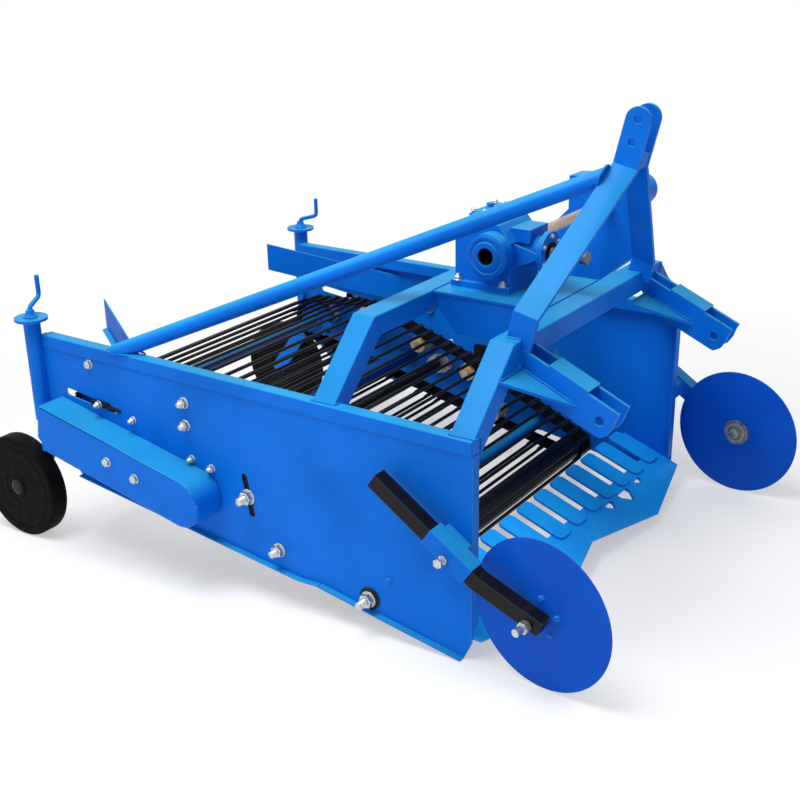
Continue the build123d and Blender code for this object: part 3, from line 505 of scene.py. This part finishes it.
# ---------------------------------------------------------------- conveyor rods
def islands(mesh):
    """The vertices of each separate part of a mesh."""
    bm = bmesh.new()
    bm.from_mesh(mesh)
    bmesh.ops.remove_doubles(bm, verts=bm.verts, dist=1e-5)
    seen = set()
    groups = []
    for start in bm.verts:      # in the mesh's own order, so that each run gives the same
        if start in seen:
            continue
        seen.add(start)
        group = []
        todo = [start]
        while todo:
            vert = todo.pop()
            group.append(vert.co.copy())
            for edge in vert.link_edges:
                other = edge.other_vert(vert)
                if other not in seen:
                    seen.add(other)
                    todo.append(other)
        groups.append(group)
    bm.free()
    return sorted(groups, key=lambda g: tuple(round(v, 4) for v in sum(g, Vector()) / len(g)))


def web_rods():
    """Each rod turned smooth, flattened at both ends where it is riveted to the belts."""
    rods = bmesh.new()
    rivets = bmesh.new()
    radius = 5.5 * MM
    pad = (7.5 * MM, 2.5 * MM)          # half width and half thickness of a flattened end
    taper = 26 * MM
    corners = 16
    near = 0.1 * MM                     # points nearer than this lie in one plane
    for group in islands(frame["nodes"]["conveyor_rods"].data):
        reach = max(v.y for v in group)
        ends = [v for v in group if v.y > reach - near]
        pad_in = min(v.y for v in group if v.y > 0)
        first = ends[0]
        others = sorted(ends[1:], key=lambda v: (v - first).length)
        normal = (others[0] - first).normalized()
        along = (others[1] - first).normalized()
        pad_centre = sum(ends, Vector()) / len(ends)
        inner = [v for v in group if abs(v.y - pad_in) < near]
        middle = [v for v in inner if abs((v - pad_centre).dot(along)) < radius * 1.02]
        rises = [(v - pad_centre).dot(normal) for v in middle]
        lift = (max(rises) + min(rises)) / 2
        outward = normal if lift > 0 else -normal
        lift = abs(lift) if abs(lift) > near else 3.0 * MM
        stations = [(reach, 1.0), (pad_in, 1.0), (pad_in - taper * 0.35, 0.8),
                    (pad_in - taper * 0.7, 0.25), (pad_in - taper, 0.0)]
        stations += [(-y, flat) for y, flat in reversed(stations)]
        rings = []
        for y, flat in stations:
            centre = Vector((pad_centre.x, y, pad_centre.z)) + outward * lift * (1 - flat)
            outline = []
            for i in range(corners):
                angle = 2 * math.pi * (i + 0.5) / corners
                c, s = math.cos(angle), math.sin(angle)
                box = min(pad[0] / max(abs(c), 1e-6), pad[1] / max(abs(s), 1e-6))
                r = box * flat + radius * (1 - flat)
                outline.append((r * c, r * s))
            rings.append(ring(rods, centre, along, outward, outline))
        loft(rods, rings)
        for side in (-1, 1):
            for inset in (14 * MM, 42 * MM):
                base = Vector((pad_centre.x, side * (reach - inset), pad_centre.z))
                lathe(rivets, base + outward * pad[1], outward,
                      [(0.0, 4.6 * MM), (1.0 * MM, 4.3 * MM), (2.0 * MM, 2.9 * MM),
                       (2.5 * MM, 0.8 * MM)], 12)
    bmesh.ops.recalc_face_normals(rods, faces=rods.faces)
    piece = finish_bmesh("web_rods", rods, "black_steel", "frame", sharp=50.0)
    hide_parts("conveyor_rods")
    bmesh.ops.recalc_face_normals(rivets, faces=rivets.faces)
    finish_bmesh("belt_rivets", rivets, "black_steel", "frame")


web_rods()


# ---------------------------------------------------------------- wheels and discs
def turned(name, node, joint, profile, material_slot, count=96):
    """A turned piece about a spin joint: profile is (distance along the axis, radius)."""
    axis = Vector(joints[joint]["axis"]).normalized()
    bm = bmesh.new()
    across, along = square_to(axis)
    centre = Vector(joints[joint]["pos_m"])
    rings = [ring(bm, centre + axis * h, across, along, circle(r, count)) for h, r in profile]
    skin(bm, rings + rings[:1])
    bmesh.ops.recalc_face_normals(bm, faces=bm.faces)
    piece = finish_bmesh(name, bm, material_slot, body_of_node[node], sharp=28.0)
    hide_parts(node)


def depth_wheel(side):
    """A solid tyre with rounded shoulders, two shallow grooves in each face and a hub."""
    low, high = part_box(side + "_wheel")
    half = (high.y - low.y) / 2
    radius = (high.z - low.z) / 2
    bore = 12.8 * MM
    shoulder = 9 * MM
    arc = [(half - shoulder * (1 - math.cos(a)), radius - shoulder * (1 - math.sin(a)))
           for a in (math.radians(10 * i) for i in range(10))]
    face = [(half, bore), (half, 34 * MM), (half - 3 * MM, 36 * MM), (half - 3 * MM, 52 * MM),
            (half - 1.5 * MM, 54 * MM), (half - 1.5 * MM, radius - 34 * MM),
            (half - 3.0 * MM, radius - 32 * MM), (half - 3.0 * MM, radius - 28 * MM),
            (half, radius - 26 * MM)]
    outer = face + arc
    profile = outer + [(-h, r) for h, r in reversed(outer)]
    turned(side + "_tyre", side + "_wheel", side + "_wheel_spin", profile, "black_rubber")
    bm = bmesh.new()
    axis = Vector(joints[side + "_wheel_spin"]["axis"])
    centre = Vector(joints[side + "_wheel_spin"]["pos_m"])
    outward = axis if centre.y * axis.y > 0 else -axis
    lathe(bm, centre + outward * (half - 0.5 * MM), outward,
          [(0.0, 0.024), (0.002, 0.024), (0.004, 0.021), (0.0048, 0.012)], 40)
    finish_bmesh(side + "_wheel_cap", bm, "black_steel", side + "_wheel")


def coulter(side):
    """A flat disc with a ground edge and its bolted hub plate."""
    joint = joints[side + "_disc_spin"]
    axis = Vector(joint["axis"]).normalized()
    centre = Vector(joint["pos_m"])
    outward = 1 if centre.y * axis.y > 0 else -1
    profile = [(-2.0, 10.4), (-2.0, 189.0), (-0.7, 195.0), (0.7, 195.0), (2.0, 181.0), (2.0, 60.0),
               (2.4, 58.0), (9.0, 36.0), (9.0, 10.4)]
    profile = [(h * MM * outward, r * MM) for h, r in profile]
    turned(side + "_coulter", side + "_disc", side + "_disc_spin", profile, "blue_paint", 128)
    bm = bmesh.new()
    across, along = square_to(axis)
    for a, b in circle(48 * MM, 5, 0.4):
        base = centre + across * a + along * b + axis * outward * 3.5 * MM
        bolt(bm, base, axis * outward, 8 * MM)
    finish_bmesh(side + "_coulter_bolts", bm, "blue_paint", side + "_disc")
    bm = bmesh.new()
    inward = -axis * outward
    lathe(bm, centre + inward * 2 * MM, inward,
          [(0.0, 0.040), (0.0035, 0.040), (0.0045, 0.038), (0.0045, 0.030), (0.007, 0.029),
           (0.0085, 0.026)], 48)
    hex_head(bm, centre + inward * 10.5 * MM, inward, 20 * MM, 13 * MM, 0.3)
    lathe(bm, centre + inward * 23 * MM, inward,
          [(0.0, 0.010), (0.009, 0.010), (0.0105, 0.008)], 24)
    finish_bmesh(side + "_hub_nut", bm, "bright_steel", side + "_disc")


for side in ("right", "left"):
    depth_wheel(side)
    coulter(side)


# ---------------------------------------------------------------- depth cranks
def cranks():
    """Bent handles on turned hubs above the posts."""
    bm = bmesh.new()
    post_top = 732
    path = [(0, post_top), (0, 762), (64, 778), (64, 841)]      # distance from the post, Z
    for side, turn in ((-1, 113.0), (1, 20.0)):
        c, s = math.cos(math.radians(turn)), math.sin(math.radians(turn))
        line = rounded([spot(POST_X + reach * c, side * POST_Y + reach * s, z)
                        for reach, z in path], 13 * MM)
        bar(bm, line, [7 * MM] * len(line))
        lathe(bm, spot(POST_X, side * POST_Y, post_top), heading(0, 0, 1),
              [(0, 0.020), (0.003, 0.022), (0.010, 0.0145), (0.022, 0.0115)])
    piece = finish_bmesh("crank_handles", bm, "blue_paint", "frame")
    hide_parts("depth_cranks")


cranks()


# ---------------------------------------------------------------- bolts and studs
OUT, IN = (0, 1, 0), (0, -1, 0)         # away from the centre plane and towards it, on the left
UP, AHEAD = (0, 0, 1), (1, 0, 0)
PAIRED_BOLTS = (            # X, Y, Z on the left, direction, thread, length of stud; both sides
    (-1293, PLATE, 622, OUT, 14, 0),
    (-1293, PLATE_INSIDE, 622, IN, 12, 4),
    (-923, PLATE, 581, OUT, 16, 9),
    (-923, PLATE, 514, OUT, 16, 9),
    (-923, 613, 581, IN, 14, 0),
    (-923, 613, 514, IN, 14, 0),
    (-911, PLATE, 415, OUT, 12, 6),
    (-839, PLATE, 404, OUT, 12, 6),
    (-839, PLATE_INSIDE, 404, IN, 12, 0),
    (-1133, PLATE, 482, OUT, 12, 6),
    (-610, PLATE, 217, OUT, 20, 16),
    (-710, PLATE, 351, OUT, 22, 20),
    (-309, 628, 164, OUT, 22, 22),
    (-917, 605, 322, IN, 12, 5),
    (-843, 605, 322, IN, 12, 5),
    (-1412, 605, 425, IN, 12, 5),
    (-1338, 605, 425, IN, 12, 5),
    (-1262, 630, 506, OUT, 12, 7),
)
SINGLE_BOLTS = (            # the same columns, for one place each; Y is as it is
    (-1148, -722, 386, IN, 14, 0),
    (-1041, -722, 361, IN, 14, 0),
    (-1412, PLATE, 425, OUT, 12, 0),
    (-1338, PLATE, 425, OUT, 12, 0),
    # chain case, round its outer face
    (-940, CASE, 322, OUT, 9, 0),
    (-908, CASE, 270, OUT, 9, 0),
    (-846, CASE, 268, OUT, 9, 0),
    (-796, CASE, 490, OUT, 9, 0),
    (-690, CASE, 600, OUT, 9, 0),
    (-584, CASE, 712, OUT, 9, 0),
    (-478, CASE, 824, OUT, 9, 0),
    (-388, CASE, 930, OUT, 9, 0),
    (-388, CASE, 1020, OUT, 9, 0),
    (-300, CASE, 1028, OUT, 9, 0),
    (-190, CASE, 1034, OUT, 9, 0),
    (-192, CASE, 930, OUT, 9, 0),
    (-192, CASE, 830, OUT, 9, 0),
    (-290, CASE, 735, OUT, 9, 0),
    (-420, CASE, 628, OUT, 9, 0),
    (-550, CASE, 520, OUT, 9, 0),
    (-680, CASE, 412, OUT, 9, 0),
    # gearbox: lid, foot, input neck and rear cover
    (-344, -54, 1068, UP, 8, 0),
    (-308, -54, 1068, UP, 8, 0),
    (-344, 62, 1068, UP, 8, 0),
    (-308, 62, 1068, UP, 8, 0),
    (-372, -87, 880, UP, 12, 5),
    (-372, 87, 880, UP, 12, 5),
    (-232, -87, 880, UP, 12, 5),
    (-232, 87, 880, UP, 12, 5),
    (-136, 0, 1012, AHEAD, 7, 0),
    (-136, 0, 920, AHEAD, 7, 0),
    (-136, 40, 989, AHEAD, 7, 0),
    (-136, -40, 989, AHEAD, 7, 0),
    (-136, 40, 943, AHEAD, 7, 0),
    (-136, -40, 943, AHEAD, 7, 0),
)


def bolts():
    """Every bolt and stud of the frame, the set bolts of the sleeves, and two painted heads."""
    bm = bmesh.new()
    rows = [(row, side) for row in PAIRED_BOLTS for side in (1, -1)]
    rows += [(row, 1) for row in SINGLE_BOLTS]
    for (x, y, z, way, size, stud), side in rows:
        direction = heading(way[0], way[1] * side, way[2])
        bolt(bm, spot(x, y * side, z), direction, size * MM, stud * MM, washer=1.05)
    for y in (-699.5, 714.5):       # the set bolt through each disc arm's sleeve
        out = heading(0, math.copysign(1, y), 0)
        base = spot(-33, y, 398)
        hex_head(bm, base, out, 14 * MM, 8 * MM, 0.2)
        lathe(bm, base + out * 8 * MM, out, [(0.0, 0.0058), (0.012, 0.0058)], 16)
        hex_head(bm, base + out * 20 * MM, out, 14 * MM, 9 * MM, 0.5)
    finish_bmesh("plate_bolts", bm, "bright_steel", "frame")
    heads = bmesh.new()             # painted over: they hold the blade's side strips
    for side in (1, -1):
        bolt(heads, spot(-247, side * PLATE, 234), heading(0, side, 0), 9 * MM, washer=1.05)
    finish_bmesh("painted_heads", heads, "blue_paint", "frame")


bolts()


def black_fittings():
    """Washers at the nose and the slots, the slide behind the front slot and the blocks that
    tension the conveyor."""
    bm = bmesh.new()
    for side in (-1, 1):
        out = heading(0, side, 0)
        lathe(bm, spot(-309, side * PLATE, 164), out,
              [(0, 0.031), (0.004, 0.031), (0.006, 0.028)], 40)
        lathe(bm, spot(-710, side * (PLATE - 0.5), 351), out,
              [(0, 0.019), (0.001, 0.019), (0.0015, 0.018)], 32)
        block = [(-34, -9), (30, -9), (34, -5), (34, 9), (-30, 9), (-34, 5)]
        rings = [[bm.verts.new(spot(-1262 + dx * grow, side * (PLATE + depth), 506 + dz * grow))
                  for dx, dz in block] for depth, grow in ((-3, 1.0), (7, 1.0), (8.5, 0.94))]
        skin(bm, rings)
        bm.faces.new(rings[-1])         # its inner end is open, in the slot
        screw = [spot(-1228, side * (PLATE + 3), 504), spot(-1180, side * (PLATE + 3), 498)]
        bar(bm, screw, [4 * MM] * 2, 12)
        slide = [(-742, 300), (-734, 292), (-690, 292), (-682, 300),
                 (-682, 412), (-690, 420), (-734, 420), (-742, 412)]
        faces = [[bm.verts.new(spot(x, side * y, z)) for x, z in slide] for y in (616.8, 611)]
        bridge(bm, *faces)
        for face in faces:
            bm.faces.new(face)
    bmesh.ops.recalc_face_normals(bm, faces=bm.faces)
    finish_bmesh("nose_washers", bm, "black_steel", "frame")


black_fittings()


def gearbox_caps():
    """Turned caps on the gearbox: a grooved side cap with its seal, a rear cover and a breather."""
    bm = bmesh.new()
    near = heading(0, -1, 0)
    centre = spot(GEAR_X, -119.5, GEAR_Z)
    across, along = square_to(near)
    skin(bm, [ring(bm, centre + near * height * MM, across, along, circle(radius * MM, 64))
              for height, radius in ((0.0, 57), (2.5, 56), (3.5, 54), (3.5, 48), (1.2, 46),
                                     (1.2, 40), (4.5, 38), (5.0, 36), (5.0, 25.5), (3.5, 23.5),
                                     (-14.0, 23.0))])
    lathe(bm, spot(GEAR_X, 119.8, GEAR_Z), heading(0, 1, 0),
          [(0.0, 0.046), (0.003, 0.045), (0.0035, 0.034), (0.006, 0.033), (0.007, 0.030)], 48)
    back = heading(-1, 0, 0)
    lathe(bm, spot(-385.5, 0, 950), back,
          [(0.0, 0.062), (0.006, 0.062), (0.009, 0.058), (0.009, 0.030), (0.013, 0.028),
           (0.014, 0.024)], 64)
    for a, b in circle(0.048, 6, 0.3):
        lathe(bm, spot(-394, 0, 950) + heading(0, 1, 0) * a + heading(0, 0, 1) * b, back,
              [(0.0, 0.0062), (0.0045, 0.0062), (0.0055, 0.005)], 6)
    lathe(bm, spot(-326, 4, 1067), heading(0, 0, 1),
          [(0.0, 0.012), (0.002, 0.012), (0.003, 0.008), (0.006, 0.008), (0.007, 0.011),
           (0.012, 0.011), (0.014, 0.008)], 24)
    lathe(bm, spot(-228, 5, 1003), heading(0.45, 0, 0.89),
          [(0.0, 0.014), (0.004, 0.014), (0.005, 0.009), (0.011, 0.0085), (0.012, 0.007)], 6)
    finish_bmesh("gearbox_caps", bm, "blue_paint", "frame", sharp=30.0)
    seal = bmesh.new()
    rings = [ring(seal, centre + near * height * MM, across, along, circle(radius * MM, 48))
             for height, radius in ((3.0, 23.6), (3.6, 22), (2.0, 19.5), (-2.0, 18.5),
                                    (-30.0, 18.0))]
    skin(seal, rings)
    seal.faces.new(rings[-1])
    lathe(seal, spot(-137, 0, GEAR_Z), heading(1, 0, 0),
          [(0.0, 0.030), (0.003, 0.030), (0.004, 0.024)], 48)
    finish_bmesh("shaft_seals", seal, "black_rubber", "frame", sharp=30.0)


gearbox_caps()


# ---------------------------------------------------------------- welds
LINK_FALL = math.tan(math.radians(24.1))        # the lower brackets' slope
PAIRED_WELDS = (            # beads as lines of X, Y, Z on the left, both sides; then their width
    # portal feet round the rails
    (((0.5, 588, 681), (0.5, 613, 681), (-70, 615, 681), (-70.5, 588, 681)), 3.2),
    (((-407.5, 588, 681), (-407.5, 613, 681), (-478, 615, 681), (-478.5, 588, 681)), 3.2),
    (((0.5, 586, 678), (0.5, 586, 642)), 2.6),
    (((-407.5, 586, 678), (-407.5, 586, 642)), 2.6),
    (((-478.5, 586, 678), (-478.5, 586, 642)), 2.6),
    # portal corners
    (((0.6, 432, 861), (0.6, 409, 805)), 2.0),
    (((-407.4, 432, 861), (-407.4, 409, 805)), 2.0),
    # lower bracket plates against the front beam
    (((1, 397.5, 838), (1, 397.5, 795)), 2.6),
    (((1, 331, 838), (1, 331, 795)), 2.6),
    # gussets against the beam and along the plates
    (((1, 400, 793), (1, 500, 792)), 2.6),
    (((1, 328, 793), (1, 228, 792)), 2.6),
    (((6, 398, 790), (140, 398, 790 - 134 * LINK_FALL)), 2.4),
    (((6, 330, 790), (140, 330, 790 - 134 * LINK_FALL)), 2.4),
    # shoe lip along the plate's bottom edge, front flange and blade strip
    (((-462, 622.5, 151), (-30, 622.5, 83)), 2.2),
    (((-6, 616, 175), (-6, 616, 636)), 1.6),
    # rail on the plate
    (((-1470, 623, 640), (-12, 623, 640)), 1.4),
    # wheel posts against the plates' rear edges, and under their flanges
    (((-1487, 600, 424), (-1487, 600, 672)), 2.4),
    (((-1490, 622, 424), (-1490, 622, 636)), 2.2),
)
SINGLE_WELDS = (
    # mast feet on the beam
    (((-43, -398, 863), (-2, -398, 863)), 3.0),
    (((-43, -397, 863), (-43, -385, 863)), 2.6),
    (((-43, 306, 863), (-2, 306, 863)), 3.0),
    (((-43, 305, 863), (-43, 293, 863)), 2.6),
    # gearbox bed on the beams
    (((-69.5, -160, 863), (-69.5, 160, 863)), 2.2),
    (((-408.5, -160, 863), (-408.5, 160, 863)), 2.2),
)


def welds():
    """Every straight bead, and those round the posts and the brace's foot."""
    bm = bmesh.new()
    rows = [(row, side) for row in PAIRED_WELDS for side in (1, -1)]
    rows += [(row, 1) for row in SINGLE_WELDS]
    for (line, width), side in rows:
        weld(bm, [spot(x, y * side, z) for x, y, z in line], width * MM)
    turns = [math.radians(a) for a in range(0, 361, 12)]
    for side in (-1, 1):        # rings round the posts, under their flanges
        weld(bm, [spot(POST_X + 26 * math.cos(a), side * POST_Y + 26 * math.sin(a), 723)
                  for a in turns], 2.6 * MM)
    foot = [(math.cos(a), math.sin(a)) for a in turns]
    weld(bm, [spot(-1152 + 62 * c, -607 + 24 * s + 27 * c * 0.4, 680.5) for c, s in foot], 3.0 * MM)
    finish_bmesh("weld_beads", bm, "blue_paint", "frame", sharp=60.0)


welds()


def brace_end_weld():
    """The bead round the brace's top end, where it meets the sloping rear edge of the mast bar."""
    lean = math.radians(13.5)           # the mast's, forwards
    reach = Vector((math.cos(lean), 0, -math.sin(lean)))
    rise = Vector((math.sin(lean), 0, math.cos(lean)))
    end = Vector((-8, -69, BEAM_TOP)) + reach * -34.5 + rise * 338
    run = (end - Vector((-1150, -607, 691.5))).normalized()
    across, along = square_to(run)
    line = []
    for i in range(31):
        angle = 2 * math.pi * i / 30
        rim = (across * math.cos(angle) + along * math.sin(angle)) * 23.5
        line.append(spot(*(end + rim - run * (rim.dot(reach) / run.dot(reach)))))
    bm = bmesh.new()
    weld(bm, line, 3.2 * MM)
    finish_bmesh("brace_end_weld", bm, "blue_paint", "frame", sharp=60.0)


brace_end_weld()


def guide_lips():
    """The folded lower edge of each crop guide, behind its bend."""
    bm = bmesh.new()
    for side in (-1, 1):
        top = (spot(-1050, side * 608, 524), spot(-1466, side * 389, 636.5))
        aside = heading(-0.46, side * 0.88, 0) * 15 * MM     # how far the lip stands out
        low = heading(0, 0, -1) * 2.5 * MM                   # its thickness
        ends = [[bm.verts.new(place + aside * part + low * drop)
                 for part, drop in ((0, 0), (1, 1.2), (1, 2.2), (0, 1.2))] for place in top]
        bridge(bm, *ends)
        for end in ends:
            bm.faces.new(end)
    bmesh.ops.recalc_face_normals(bm, faces=bm.faces)
    finish_bmesh("guide_lips", bm, "blue_paint", "frame")


guide_lips()


def shoe_lips():
    """The flange along each plate's bottom edge, carried on from the shoe to the rear corner."""
    bm = bmesh.new()
    section = ((621.5, 0), (636, 0), (638, 1.5), (638, 3.5), (636.5, 5), (621.5, 5))
    for side in (-1, 1):
        rings = [[bm.verts.new(spot(x, side * y, z + rise)) for y, rise in section]
                 for x, z in ((-471, 151), (-540, 148), (-1380, 246))]
        skin(bm, rings)
        bm.faces.new(rings[0])
        bm.faces.new(rings[-1])
    bmesh.ops.recalc_face_normals(bm, faces=bm.faces)
    finish_bmesh("shoe_lips", bm, "blue_paint", "frame")


shoe_lips()


# ---------------------------------------------------------------- light, floor and camera
def soft_lamp(name, place, target, size, power):
    """A round lamp of a size in metres, turned to a target."""
    light = bpy.data.lights.new(name, "AREA")
    light.shape = "DISK"
    light.size = size
    light.energy = power
    lamp = bpy.data.objects.new(name, light)
    lamp.location = place
    lamp.rotation_euler = (Vector(target) - Vector(place)).to_track_quat("-Z", "Y").to_euler()
    bpy.context.scene.collection.objects.link(lamp)


def seen_rays(tree):
    """One for a ray from the camera, a reflection or glass, and nothing for the light's own."""
    rays = tree.nodes.new("ShaderNodeLightPath")
    total = rays.outputs["Is Camera Ray"]
    for name in ("Is Glossy Ray", "Is Transmission Ray"):
        add = tree.nodes.new("ShaderNodeMath")
        add.operation = "MAXIMUM"
        tree.links.new(total, add.inputs[0])
        tree.links.new(rays.outputs[name], add.inputs[1])
        total = add.outputs[0]
    return total


def background_white(tree, lit, shader_out):
    """White where it is seen, and the lit shader elsewhere."""
    total = seen_rays(tree)
    mix = tree.nodes.new("ShaderNodeMixShader")
    white = tree.nodes.new("ShaderNodeBackground")
    white.inputs["Color"].default_value = (1, 1, 1, 1)
    white.inputs["Strength"].default_value = 1.0
    tree.links.new(total, mix.inputs[0])
    tree.links.new(lit, mix.inputs[1])
    tree.links.new(white.outputs[0], mix.inputs[2])
    tree.links.new(mix.outputs[0], shader_out)


def studio():
    """An even pale sky, a soft key from above and a weak fill from the right-hand side."""
    world = bpy.data.worlds.new("studio")
    bpy.context.scene.world = world
    world.use_nodes = True
    tree = world.node_tree
    ambient = tree.nodes["Background"]
    ambient.inputs["Color"].default_value = (0.93, 0.96, 1.0, 1.0)
    ambient.inputs["Strength"].default_value = 0.5
    background_white(tree, ambient.outputs[0], tree.nodes["World Output"].inputs["Surface"])
    soft_lamp("key", (-0.2, -1.4, 4.4), (0.0, 0.0, 0.4), 2.8, 175)
    soft_lamp("fill", (-1.2, -4.6, 2.0), (0.0, 0.0, 0.5), 2.4, 24)


def floor():
    """A matt pale floor that fades to white away from the machine and keeps its shadow."""
    low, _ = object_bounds()
    reach = 9.0             # metres, from the middle to each side
    bm = bmesh.new()
    corners = [(-reach, -reach), (reach, -reach), (reach, reach), (-reach, reach)]
    bm.faces.new([bm.verts.new((x, y, low.z)) for x, y in corners])
    mesh = bpy.data.meshes.new("studio_floor")
    bm.to_mesh(mesh)
    bm.free()
    plane = bpy.data.objects.new("studio_floor", mesh)
    bpy.context.scene.collection.objects.link(plane)
    m = Nodes("pale_floor")
    m.link(m.ramp(m.noise(0.8, 3.0), (0.3, 0.90), (0.7, 0.94)), m.shader.inputs["Base Color"])
    m.set(Roughness=0.9)
    away = m.add("ShaderNodeVectorMath", operation="LENGTH")        # metres from the middle
    m.link(m.add("ShaderNodeNewGeometry").outputs["Position"], away.inputs[0])
    white = m.add("ShaderNodeMapRange")
    for name, value in (("From Min", 1.4), ("From Max", 2.6), ("To Min", 0.45), ("To Max", 1.0)):
        white.inputs[name].default_value = value
    m.link(away.outputs["Value"], white.inputs["Value"])
    surface = m.tree.nodes["Material Output"].inputs["Surface"]
    bright = m.add("ShaderNodeMixShader")
    glow = m.add("ShaderNodeEmission")
    glow.inputs["Color"].default_value = (1, 1, 1, 1)
    m.link(white.outputs["Result"], bright.inputs[0])
    m.link(m.shader.outputs[0], bright.inputs[1])
    m.link(glow.outputs[0], bright.inputs[2])
    seen = m.add("ShaderNodeMixShader")     # the light itself meets the plain floor
    m.link(seen_rays(m.tree), seen.inputs[0])
    m.link(m.shader.outputs[0], seen.inputs[1])
    m.link(bright.outputs[0], seen.inputs[2])
    m.link(seen.outputs[0], surface)
    plane.data.materials.append(m.material)


CAMERA_PLACE = (1336.73, -2841.58, 1822.52)     # in the level frame
CAMERA_YAW, CAMERA_PITCH, CAMERA_ROLL = 35.13066, 22.25757, -1.18441    # degrees
LENS = 55.06                                    # for a sensor 36 mm wide
SHIFT = (0.00933, 0.01222)


def camera():
    """The view from ahead of the right-hand front corner, from a little above the machine."""
    yaw, pitch, roll = (math.radians(a) for a in (CAMERA_YAW, CAMERA_PITCH, CAMERA_ROLL))
    look = Vector((-math.sin(yaw) * math.cos(pitch), math.cos(yaw) * math.cos(pitch),
                   -math.sin(pitch)))
    right = Vector((math.cos(yaw), math.sin(yaw), 0))
    up = right.cross(look)
    across = right * math.cos(roll) + up * math.sin(roll)
    upright = up * math.cos(roll) - right * math.sin(roll)
    data = bpy.data.cameras.new("camera")
    data.lens = LENS
    data.sensor_width = 36.0
    data.shift_x, data.shift_y = SHIFT
    data.clip_end = 60.0
    view = bpy.data.objects.new("camera", data)
    turn = Matrix((across, upright, -look)).transposed().to_4x4()
    view.matrix_world = Matrix.Translation(spot(*CAMERA_PLACE)) @ tip @ turn
    bpy.context.scene.collection.objects.link(view)
    bpy.context.scene.camera = view


studio()
floor()
camera()
bpy.context.scene.view_settings.view_transform = "Standard"
